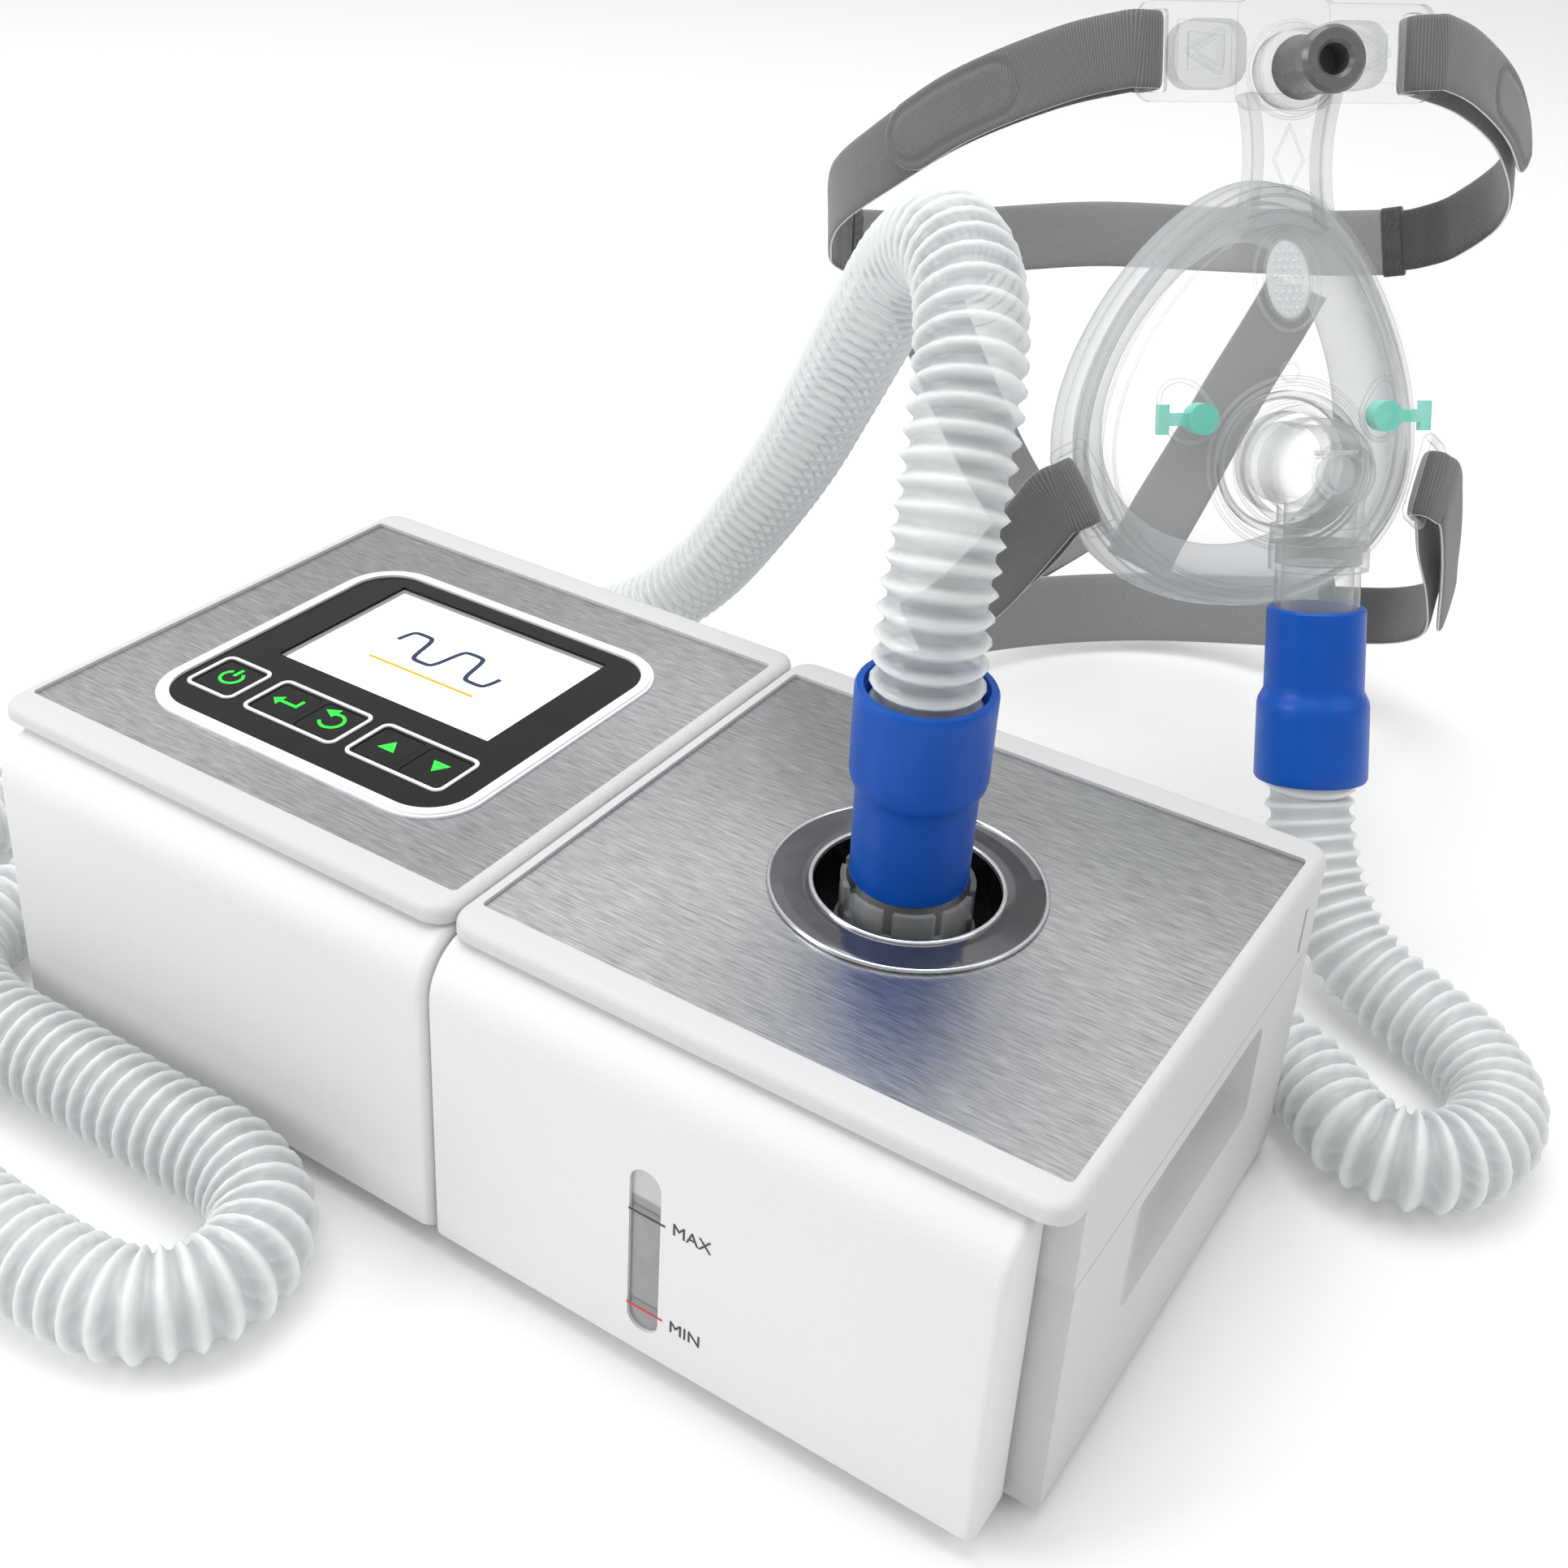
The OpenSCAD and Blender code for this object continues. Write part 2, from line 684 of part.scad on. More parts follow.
module port_cup() {
    color("black")
    translate([unit_x, plate_y, cup_z - 2])
    difference() {
        cylinder(r = cup_r + 1.6, h = cup_depth + 2);
        translate([0, 0, 2]) cylinder(r = cup_r, h = cup_depth + 1);
        translate([0, 0, -1]) cylinder(r = 11.2, h = 5);
    }
}

// Clear outlet pipe, with the notched collar that guards its foot
module outlet_spigot() {
    color("lightcyan")
    translate([unit_x, plate_y, 0]) {
        translate([0, 0, tank_top + 6.4]) washer(taper_r, 9.4, cuff_z + 16 - tank_top - 6.4);
        translate([0, 0, cup_z]) washer(15.2, taper_r - 0.5, 1.4);
        difference() {
            translate([0, 0, cup_z + 1.4]) washer(14.4, 13.2, 11.6);
            for (a = [0:45:315]) rotate([0, 0, a + 12]) translate([11, -1.1, cup_z + 7]) cube([6, 2.2, 8]);
        }
    }
}

// ---------- hose ----------

module hose() {
    color("whitesmoke") tube_along(hose_route, hose_r, 12);
}

// Rubber cuff, its narrow end at the origin and its wide end up
module cuff() {
    color("mediumblue")
    rotate_extrude($fn = 96)
        polygon([
            [taper_r, 0], [cuff_small_r - 0.5, 0], [cuff_small_r, 0.6],
            [cuff_small_r + 0.2, cuff_step - 2], [cuff_wide_r - 0.5, cuff_step + 0.6],
            [cuff_wide_r - 0.2, cuff_step + 2], [cuff_wide_r, cuff_l - 0.8],
            [cuff_wide_r - 0.4, cuff_l], [12.9, cuff_l], [12.6, cuff_l - 0.6], [12.6, cuff_step + 2.8],
            [taper_r, cuff_step + 2.8]
        ]);
}

module port_cuff() {
    translate([unit_x, plate_y, cuff_z]) cuff();
}

module mask_cuff() {
    on_mask() translate([0, -20, mask_cuff_z]) rotate([180, 0, 0]) cuff();
}

// ---------- mask ----------

// Clear pipe end that turns freely in the elbow
module swivel_connector() {
    color("lightcyan")
    on_mask() translate([0, -20, 0]) {
        translate([0, 0, -58]) washer(10.9, 9.2, 32);
        translate([0, 0, -26]) washer(12.8, 9.2, 1.6);
        translate([0, 0, -24.4]) washer(12.8, 11.05, 5.4);
    }
}

// Elbow: round spigot in the mask, a ball corner with its air valve, and the down pipe
module elbow() {
    color("lightcyan")
    on_mask()
    difference() {
        union() {
            difference() {
                union() {
                    translate([0, -20, 0]) sphere(r = 13.4);
                    translate([0, -20, 0]) rotate([-90, 0, 0]) cylinder(r = 13, h = 12.5);
                    translate([0, -9.2, 0]) rotate([-90, 0, 0]) cylinder(r = 16.2, h = 2);
                    translate([0, -8, 0]) rotate([-90, 0, 0]) cylinder(r = 14, h = 12);
                    translate([0, -20, -24.2]) cylinder(r = 11, h = 24.2);
                    translate([0, -20, -19]) cylinder(r = 12.6, h = 4.6);
                    translate([0, -34.2, 0]) rotate([-90, 0, 0]) cylinder(r = 8, h = 4);
                }
                translate([0, -20, 0]) sphere(r = 11.6);
                translate([0, -20, 0]) rotate([-90, 0, 0]) cylinder(r = 11.2, h = 30);
                translate([0, -20, -25]) cylinder(r = 9.2, h = 24);
                translate([0, -36, 0]) rotate([-90, 0, 0]) cylinder(r = 4.6, h = 8);
            }
            intersection() {
                for (x = [-1, 1]) translate([x * 6.4, -28.4, 5.1]) cube([4, 4, 2.8], center = true);
                translate([0, -20, 0]) sphere(r = 12.6);
            }
        }
        translate([-6, -28.2, 5]) rotate([0, 90, 0]) cylinder(r = 0.65, h = 12);
    }
}

// Thin flap behind the elbow's valve window, with its hinge pin
module valve_flap() {
    color("lightyellow")
    on_mask() {
        translate([0, -28.6, -0.4]) rotate([-90, 0, 0]) cylinder(r = 5.2, h = 0.8);
        translate([-5.5, -28.2, 5]) rotate([0, 90, 0]) cylinder(r = 0.6, h = 11);
    }
}

// Outline of the mask's rim: narrow over the nose, wide at the cheeks
function rim_x(a, grow) = (mask_hw + grow) * sin(a) * (1 - 0.26 * cos(a));
function rim_z(a, grow) = 16 + (mask_hh + grow) * cos(a);
function rim_y(a) = 19 - 5 * cos(a) + 8 * sin(a) * sin(a);

// Point of the dome: t runs from the rim, 0, to the elbow's socket, 1
function dome_point(a, t, back) =
    let (s = pow(t, 1.15), w = sin(90 * pow(t, 0.8)))
        [(1 - s) * rim_x(a, -back) + s * (19 - back) * sin(a),
            (1 - w) * rim_y(a) + w * 1.5 + back,
            (1 - s) * rim_z(a, -back) + s * (19 - back) * cos(a)];

rim_steps = 56;
function dome_ring(t, back) = [for (i = [0:rim_steps - 1]) dome_point(360 * i / rim_steps, t, back)];
function lip_ring(grow, dy) =
    [for (i = [0:rim_steps - 1]) let (a = 360 * i / rim_steps)
        [rim_x(a, grow), rim_y(a) + dy, rim_z(a, grow)]];

dome_steps = [0.04, 0.12, 0.22, 0.36, 0.52, 0.7, 0.86, 1];

module mask_shell() {
    n = len(dome_steps);
    ring_loft(concat(
        [lip_ring(-2.2, 2.4)],
        [for (k = [0:n - 1]) dome_ring(dome_steps[k], 2)],
        [for (k = [n - 1:-1:0]) dome_ring(dome_steps[k], 0)],
        [lip_ring(2.6, 0), lip_ring(3.2, 1.2), lip_ring(2.6, 2.4)]
    ));
}

// Loop at the right cheek that a lower strap passes through
module strap_lug() {
    translate([50.3, 20.6, -8]) rotate([0, 28, 35])
    difference() {
        union() {
            translate([-8, -1.4, -13.4]) cube([13.6, 2.8, 26.8]);
            translate([-15.5, -1.4, -8]) cube([8, 2.8, 16]);
        }
        translate([-2.4, -3, -11.2]) cube([5, 6, 22.4]);
    }
}

module mask_frame() {
    color("lightcyan")
    on_mask()
    difference() {
        union() {
            mask_shell();
            translate([0, -3.6, 0]) rotate([-90, 0, 0]) washer(19.6, 14.1, 7);
            translate([0, -1.6, 0]) rotate([-90, 0, 0]) washer(23, 18, 3);
            for (x = [-1, 1]) {
                translate([x * 9.4, 0, 66]) block([-1.6, 3, 0], [1.6, 13, 27.4]);
                translate([x * 26, -1.9, 12.5]) rotate([-90, 0, 0]) cylinder(r = 3, h = 12);
            }
            block([-10, 7, 66], [10, 9.4, 98]);
            translate([0, 1, arm_z]) rotate([-90, 0, 0]) cylinder(r = 10.4, h = 8);
            strap_lug();
            mirror([1, 0, 0]) strap_lug();
        }
        translate([0, 0, arm_z]) rotate([-90, 0, 0]) cylinder(r = 3.06, h = 12);
        for (x = [-1, 1]) translate([x * 26, -3, 12.5]) rotate([-90, 0, 0]) cylinder(r = 1.5, h = 20);
        translate([0, -10, 0]) rotate([-90, 0, 0]) cylinder(r = 14.1, h = 20);
    }
}

// Silicone cushion that seals against the face
module mask_cushion() {
    color("white")
    on_mask()
    ring_loft([
        lip_ring(2.2, 2.8), lip_ring(4.6, 8), lip_ring(5.4, 15), lip_ring(3, 22), lip_ring(-3, 25.5),
        lip_ring(-9, 25), lip_ring(-12, 22), lip_ring(-9.4, 20.4), lip_ring(-4, 19.6), lip_ring(0, 15),
        lip_ring(-0.4, 8), lip_ring(-2.4, 2.8)
    ]);
}

// Forehead bar with a slot for a strap at each end
module forehead_bar() {
    color("lightcyan")
    on_mask()
    difference() {
        union() {
            translate([0, 12.6, 109]) rotate([90, 0, 0]) rounded_plate(83, 26, 4, 2.8);
            translate([0, 13.4, 109]) rotate([90, 0, 0]) rounded_plate(26, 30, 4, 3.6);
            for (x = [-1, 1]) translate([x * 24, 12.6, 109]) rotate([90, 0, 0])
                linear_extrude(3.6) polygon([[-x * 8, -7], [-x * 8, 7], [x * 7, 8], [x * 7, -8]]);
            translate([0, 9.6, arm_z]) rotate([-90, 0, 0]) cylinder(r = 8, h = 3.8);
        }
        for (x = [-1, 1]) translate([x * 35.7, 12.4, 109]) rotate([90, 0, 0]) {
            translate([0, 0, -2]) rounded_plate(4.6, 21.4, 1, 9);
        }
        for (x = [-1, 1]) translate([x * 23, 10, 109]) rotate([90, 0, 0])
            linear_extrude(3) polygon([[-x * 5, -4], [-x * 5, 4], [x * 5, 5], [x * 5, -5]]);
        translate([0, 0, arm_z]) rotate([-90, 0, 0]) cylinder(r = 3.06, h = 20);
    }
}

module forehead_pads() {
    color("white")
    on_mask()
    for (x = [-1, 1]) translate([x * 20, 13.5, 109]) rotate([-90, 0, 0]) rounded_plate(20, 18, 6, 7);
}

// Knob that moves the forehead bar to and fro
module adjust_knob() {
    color("gray")
    on_mask() translate([0, 0, arm_z]) rotate([-90, 0, 0]) {
        rotate_extrude()
            polygon([
                [0, -10], [4, -10], [4, -18.4], [5, -19.4], [7.6, -19.4], [8.6, -18.2], [8.4, -14],
                [7.4, -12.6], [7.8, -2], [8.4, 0.7], [0, 0.7]]);
        cylinder(r = 3, h = 12.6);
    }
}

// Soft cap over a pressure port's nipple, with its pull tab
module port_plug(s) {
    color("aquamarine")
    on_mask() translate([s * 26, 0, 12.5]) rotate([-90, 0, 0]) {
        difference() {
            translate([0, 0, -4.2]) cylinder(r = 4.2, h = 5.4);
            translate([0, 0, -2.1]) cylinder(r = 3.06, h = 4);
        }
        translate([s * 7, 0, -2.4]) cube([8, 3.4, 2.4], center = true);
        translate([s * 11, 0, -2.4]) cube([3, 8, 2.4], center = true);
    }
}

module port_plug_left() { port_plug(-1); }
module port_plug_right() { port_plug(1); }

// ---------- headgear ----------

module strap_upper_left() {
    color("gray") on_mask() mirror([1, 0, 0]) strap_along(upper_side, strap_w, strap_t);
}

module strap_upper_right() {
    color("gray") on_mask() strap_along(upper_side, strap_w, strap_t);
}

module strap_lower_left() {
    color("gray") on_mask() mirror([1, 0, 0]) strap_along(lower_side, strap_w, strap_t, [0.38, 0.27, 0.88]);
}

module strap_lower_right() {
    color("gray") on_mask() strap_along(lower_side, strap_w, strap_t, [0.38, 0.27, 0.88]);
}

module crown_strap() {
    color("gray") on_mask() strap_along(upper_back, strap_w + 2, strap_t);
}

module crown_side_left() {
    color("gray") on_mask() mirror([1, 0, 0]) strap_along(crown_side, 24, strap_t, [1, 0, 0]);
}

module crown_side_right() {
    color("gray") on_mask() strap_along(crown_side, 24, strap_t, [1, 0, 0]);
}

module neck_strap() {
    color("gray") on_mask() strap_along(lower_back, strap_w + 4, strap_t);
}

main_case();
main_top_frame();
main_front_panel();
main_plate();
bezel_ring();
display_panel();
lcd_screen();
key_frames();
key_power();
key_enter();
key_back();
key_up();
key_down();
main_board();
blower_housing();
blower_motor();
blower_impeller();
air_duct();
filter_foam();
filter_cover();
power_inlet();
feet();
docking_plate();
case_screws();
humidifier_case();
humidifier_top_frame();
humidifier_plate();
heater_plate();
drawer_front();
level_window();
water_tank();
tank_lid();
outlet_seal();
port_ring();
port_cup();
outlet_spigot();
hose();
port_cuff();
mask_cuff();
swivel_connector();
elbow();
valve_flap();
mask_frame();
mask_cushion();
forehead_bar();
forehead_pads();
adjust_knob();
port_plug_left();
port_plug_right();
strap_upper_left();
strap_upper_right();
strap_lower_left();
strap_lower_right();
crown_strap();
crown_side_left();
crown_side_right();
neck_strap();
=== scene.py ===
import math

import bpy
import numpy as np
from mathutils import Matrix, Vector


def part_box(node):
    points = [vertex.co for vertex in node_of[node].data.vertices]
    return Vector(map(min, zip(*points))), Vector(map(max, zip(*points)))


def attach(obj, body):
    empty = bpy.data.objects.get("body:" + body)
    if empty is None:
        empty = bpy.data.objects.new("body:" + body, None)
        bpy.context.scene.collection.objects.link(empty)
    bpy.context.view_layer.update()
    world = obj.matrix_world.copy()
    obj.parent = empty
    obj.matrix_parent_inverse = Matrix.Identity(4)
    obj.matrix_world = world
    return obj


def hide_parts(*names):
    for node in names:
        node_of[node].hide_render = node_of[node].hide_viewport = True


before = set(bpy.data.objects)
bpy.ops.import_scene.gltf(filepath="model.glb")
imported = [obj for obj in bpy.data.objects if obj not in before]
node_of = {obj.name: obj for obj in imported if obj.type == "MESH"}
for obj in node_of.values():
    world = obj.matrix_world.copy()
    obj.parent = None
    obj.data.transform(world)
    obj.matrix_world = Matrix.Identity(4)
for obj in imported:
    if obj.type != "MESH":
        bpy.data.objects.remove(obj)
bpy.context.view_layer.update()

MM = 0.001

# ---------------------------------------------------------------- viewpoint
# A camera above the humidifier's front corner, looking down over both units
# towards the mask, as a product picture of the set is taken.
eye = Vector((0.2204, -0.3050, 0.3292))
yaw, pitch, roll = math.radians(-32.46), math.radians(27.24), math.radians(-2.77)
ahead = Vector((math.sin(yaw) * math.cos(pitch), math.cos(yaw) * math.cos(pitch), -math.sin(pitch)))
level = Vector((math.cos(yaw), -math.sin(yaw), 0))
below = ahead.cross(level)
rightward = math.cos(roll) * level + math.sin(roll) * below
downward = math.cos(roll) * below - math.sin(roll) * level

lens = bpy.data.cameras.new("product_view")
lens.sensor_width = 36
lens.lens = 44.89
lens.shift_x = 0.0277
lens.shift_y = -0.1249
lens.clip_start = 0.01
camera = bpy.data.objects.new("product_view", lens)
bpy.context.scene.collection.objects.link(camera)
axes = Matrix((rightward, -downward, -ahead)).transposed()
camera.matrix_world = Matrix.Translation(eye) @ axes.to_4x4()
bpy.context.scene.camera = camera

# ---------------------------------------------------------------- breathing hose
# About 1.7 m of clear vinyl hose with round rings moulded every 5 mm, pushed
# into a rubber cuff at each end. It lies on the table round the units.
hose_diameter = 0.024
ring_pitch = 0.005
hose_core = 0.0101
hose_route = np.array([
    [70, 3, 115], [70, 3, 138], [69, 6, 156], [66, 15, 176], [60, 28, 194],
    [50, 43, 205], [36, 58, 206], [20, 74, 194], [4, 89, 173], [-13, 103, 147],
    [-32, 118, 118], [-53, 131, 89], [-75, 142, 61], [-98, 149, 38],
    [-122, 152, 21], [-148, 149, 13], [-172, 138, 12.5], [-189, 119, 12.5],
    [-197, 94, 12.5], [-199, 60, 12.5], [-199, 20, 12.5], [-199, -20, 12.5],
    [-197, -56, 12.5], [-188, -88, 12.5], [-170, -111, 12.5],
    [-143, -124, 12.5], [-112, -130, 12.5], [-80, -132, 12.5],
    [-48, -132, 12.5], [-29, -127, 12.5], [-20, -112, 12.5],
    [-25, -97, 12.5], [-42, -89, 12.5], [-72, -89, 12.5], [-102, -89, 12.5],
    [-126, -89, 12.5], [-146, -82, 12.5], [-156, -65, 12.5],
    [-158, -30, 12.5], [-158, 10, 12.5], [-158, 52, 12.5], [-155, 76, 12.5],
    [-140, 91, 12.5], [-112, 94, 12.5], [-70, 94, 12.5], [-30, 94, 12.5],
    [10, 94, 12.5], [50, 94, 12.5], [90, 94, 12.5], [120, 92, 12.5],
    [142, 84, 12.5], [158, 72, 12.5], [173, 72, 12.5], [183, 84, 12.5],
    [183, 102, 12.5], [171, 117, 12.5], [154, 126, 13], [138, 132, 17],
    [126, 139, 26], [118.5, 145, 37], [113.8, 149.6, 47.3], [112.5, 151.1, 53],
    [108.4, 155.7, 70.8]]) * MM


def smooth_route(points, step):
    """Catmull-Rom curve through the points, then resampled at equal steps of arc length."""
    ends = np.vstack([2 * points[0] - points[1], points, 2 * points[-1] - points[-2]])
    p0, p1, p2, p3 = (ends[i:len(ends) - 3 + i, None] for i in range(4))
    t = np.linspace(0, 1, 24, endpoint=False)[None, :, None]
    dense = 0.5 * (2 * p1 + (p2 - p0) * t + (2 * p0 - 5 * p1 + 4 * p2 - p3) * t ** 2
                   + (3 * p1 - p0 - 3 * p2 + p3) * t ** 3)
    dense = np.vstack([dense.reshape(-1, 3), points[-1]])
    run = np.concatenate([[0], np.cumsum(np.linalg.norm(np.diff(dense, axis=0), axis=1))])
    at = np.linspace(0, run[-1], int(round(run[-1] / step)) + 1)
    return np.stack([np.interp(at, run, dense[:, k]) for k in range(3)], axis=1), at


def carried_frames(line, side):
    """Unit tangents of a line, with a side direction carried along it without twist, and their cross."""
    tangent = np.gradient(line, axis=0)
    tangent /= np.linalg.norm(tangent, axis=1, keepdims=True)
    sides = np.empty_like(tangent)
    for k, along in enumerate(tangent):
        side = side - (side @ along) * along
        side = side / np.linalg.norm(side)
        sides[k] = side
    return tangent, sides, np.cross(tangent, sides)


def skin(name, grid, caps=True, loop=False):
    """Piece whose surface is a grid of points [along, around]: it wraps around, and along too if loop is set.
    Caps close the two ends otherwise. Corners run so that faces point outwards."""
    m, n = grid.shape[:2]
    index = np.arange(m * n).reshape(m, n)
    nxt = np.roll(index, -1, axis=1)
    a, b = index, np.roll(index, -1, axis=0)
    c, d = np.roll(nxt, -1, axis=0), nxt
    quads = np.stack([a, d, c, b], axis=-1)
    if not loop:
        quads = quads[:-1]
    faces = quads.reshape(-1, 4).tolist()
    if caps and not loop:
        faces += [index[0, ::-1].tolist(), index[-1].tolist()]
    mesh = bpy.data.meshes.new(name)
    mesh.from_pydata(grid.reshape(-1, 3).tolist(), [], faces)
    mesh.polygons.foreach_set("use_smooth", np.ones(len(faces), bool))
    mesh.update()
    piece = bpy.data.objects.new(name, mesh)
    bpy.context.scene.collection.objects.link(piece)
    return piece


def solid_volume(piece):
    """Signed volume inside a piece's faces: positive if they point outwards."""
    mesh = piece.data
    mesh.calc_loop_triangles()
    co = np.empty(len(mesh.vertices) * 3)
    mesh.vertices.foreach_get("co", co)
    corners = np.empty(len(mesh.loop_triangles) * 3, int)
    mesh.loop_triangles.foreach_get("vertices", corners)
    tri = co.reshape(-1, 3)[corners].reshape(-1, 3, 3)
    return float(np.einsum("ij,ij->i", tri[:, 0], np.cross(tri[:, 1], tri[:, 2])).sum() / 6)


def faced_out(piece):
    """Turns a closed piece's faces round if they point inwards."""
    if solid_volume(piece) < 0:
        piece.data.flip_normals()
    return piece


hose_line, hose_run = smooth_route(hose_route, ring_pitch / 6)
_, across, over = carried_frames(hose_line, np.array([0.0, -1.0, 0.0]))
turn = np.linspace(0, 2 * math.pi, 20, endpoint=False)
ring_swell = (0.5 + 0.5 * np.cos(2 * math.pi * hose_run / ring_pitch)) ** 2.2
hose_radius = hose_core + (hose_diameter / 2 - 0.0001 - hose_core) * ring_swell
hose_grid = (hose_line[:, None] + hose_radius[:, None, None]
             * (np.cos(turn)[None, :, None] * across[:, None] + np.sin(turn)[None, :, None] * over[:, None]))
hose = faced_out(skin("hose_tube", hose_grid))
crest = hose.data.attributes.new("crest", "FLOAT", "POINT")
crest.data.foreach_set("value", np.repeat(ring_swell, len(turn)))
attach(hose, "unit")
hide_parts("hose")


class Field:
    """A number or colour that varies over a surface, as a node's output. Arithmetic on it adds Math nodes."""

    def __init__(self, finish, socket):
        self.finish = finish
        self.socket = socket

    def math(self, operation, *values):
        return self.finish.node("Math", {"operation": operation}, dict(enumerate(values)))

    def __add__(self, other):
        return self.math("ADD", self, other)

    def __radd__(self, other):
        return self.math("ADD", other, self)

    def __sub__(self, other):
        return self.math("SUBTRACT", self, other)

    def __rsub__(self, other):
        return self.math("SUBTRACT", other, self)

    def __mul__(self, other):
        return self.math("MULTIPLY", self, other)

    def __rmul__(self, other):
        return self.math("MULTIPLY", other, self)

    def __pow__(self, other):
        return self.math("POWER", self, other)


class Finish:
    """One surface finish: a Principled shader with its fixed values, and nodes for what varies."""

    def __init__(self, name, **fixed):
        self.material = bpy.data.materials.new(name)
        self.material.use_nodes = True
        self.tree = self.material.node_tree
        self.shader = self.tree.nodes["Principled BSDF"]
        for socket, value in fixed.items():
            self.shader.inputs[socket.replace("_", " ")].default_value = value

    def node(self, kind, settings=None, values=None, out=0):
        """Adds a shader node: its settings first, then the values or links of its sockets."""
        made = self.tree.nodes.new("ShaderNode" + kind)
        for key, value in (settings or {}).items():
            if key == "stops":
                for stop, (at, colour) in zip([made.color_ramp.elements[0], made.color_ramp.elements[1]]
                                              + [made.color_ramp.elements.new(0.5) for _ in value[2:]],
                                              value):
                    stop.position = at
                    stop.color = colour
            else:
                setattr(made, key, value)
        for key, value in (values or {}).items():
            if isinstance(value, Field):
                self.tree.links.new(value.socket, made.inputs[key])
            else:
                made.inputs[key].default_value = value
        return Field(self, made.outputs[out])

    def place(self, scale=(1, 1, 1), source="Object"):
        """Coordinates on the piece, in metres times a scale for each axis."""
        where = self.node("TexCoord", out={"Object": 3, "UV": 2}[source])
        return self.node("Mapping", None, {"Vector": where, "Scale": scale})

    def noise(self, scale, detail=2.0, stretch=(1, 1, 1), source="Object", rough=0.5):
        return self.node("TexNoise", None, {"Vector": self.place(stretch, source), "Scale": scale,
                                            "Detail": detail, "Roughness": rough})

    def blend(self, factor, first, second):
        """Colour between two colours, by a factor."""
        return self.node("Mix", {"data_type": "RGBA"}, {0: factor, 6: first, 7: second}, out=2)

    def facing(self, edge=0.5):
        return self.node("LayerWeight", None, {"Blend": edge}, out=1)

    def feed(self, **fields):
        """Links fields to the shader's sockets."""
        for socket, field in fields.items():
            self.tree.links.new(field.socket, self.shader.inputs[socket.replace("_", " ")])
        return self

    def bump(self, height, depth, strength=1.0):
        """Relief of a height field, its depth in metres."""
        return self.feed(Normal=self.node("Bump", None, {"Height": height, "Distance": depth,
                                                         "Strength": strength}))

    def on(self, *pieces):
        for piece in pieces:
            piece.data.materials.clear()
            piece.data.materials.append(self.material)
        return self


vinyl = Finish("clear_vinyl", Roughness=0.22, IOR=1.45, Specular_IOR_Level=0.6)
ring_crest = vinyl.node("Attribute", {"attribute_name": "crest"}, out=2)
haze = vinyl.noise(240, 3)
rim_of_view = vinyl.facing(0.45)
# The colour darkens from each ring's crest down into the valleys between rings: painted shade in the valleys.
vinyl.feed(
    Base_Color=vinyl.blend(ring_crest, (0.52, 0.54, 0.55, 1), (0.90, 0.92, 0.92, 1)),
    Alpha=0.40 + 0.26 * ring_crest + 0.30 * rim_of_view + 0.08 * haze,
    Roughness=0.16 + 0.16 * haze)
vinyl.bump(haze, 0.0002, 0.25)
vinyl.on(hose)


def eased(*names):
    """Smooths a CAD node's rounded faces in place: doubles welded, edges sharp above 32 degrees."""
    for name in names:
        node = node_of[name]
        node.data.polygons.foreach_set("use_smooth", np.ones(len(node.data.polygons), bool))
        weld = node.modifiers.new("weld", "WELD")
        weld.merge_threshold = 0.00001
        split = node.modifiers.new("sharp_edges", "EDGE_SPLIT")
        split.split_angle = math.radians(32)
    return [node_of[name] for name in names]


# ---------------------------------------------------------------- hose cuffs
# Royal-blue rubber cuffs, one step wider where the hose goes in. They push
# over the 22 mm pipes of the humidifier and of the mask's connector.
rubber_blue = Finish("blue_rubber", Roughness=0.4, Specular_IOR_Level=0.28)
skin_grain = rubber_blue.noise(1800, 3)
wear = rubber_blue.noise(90, 3)
rubber_blue.feed(Base_Color=rubber_blue.blend(wear, (0.0006, 0.060, 0.36, 1), (0.001, 0.090, 0.47, 1)),
                 Roughness=0.30 + 0.14 * skin_grain)
rubber_blue.bump(skin_grain, 0.00012, 0.5)
rubber_blue.on(*eased("port_cuff", "mask_cuff"))

# ---------------------------------------------------------------- white cases
# Injection-moulded shells and top frames in grey-white plastic with a fine
# spark-eroded grain. The front panels are a separate part. The shells' grey is
# painted shade, set darker than the panels' white to stand for the shaded side faces.
def moulded_white(name, tint, grain_depth):
    """White plastic: a tint with slow, faint shading, and a fine leather-like grain in relief."""
    plastic = Finish(name, Roughness=0.5, Specular_IOR_Level=0.4)
    grain = plastic.noise(1500, 3, rough=0.6)
    shade = plastic.noise(14, 2)
    darker = tuple(0.955 * c for c in tint)
    plastic.feed(Base_Color=plastic.blend(shade, (*darker, 1), (*tint, 1)), Roughness=0.42 + 0.2 * grain)
    return plastic.bump(grain, grain_depth, 0.6)


# The shells' darker tint is painted shade: lit fronts and shaded sides are given as two tints of one white
# plastic.
shaded_case_plastic = moulded_white("shaded_case_plastic", (0.62, 0.62, 0.62), 0.00022)
shaded_case_plastic.on(*eased("main_case", "humidifier_case", "main_top_frame", "humidifier_top_frame",
                       "filter_cover", "docking_plate"))
panel_plastic = moulded_white("panel_plastic", (0.75, 0.75, 0.75), 0.00016)
panel_plastic.on(*eased("main_front_panel", "drawer_front"))

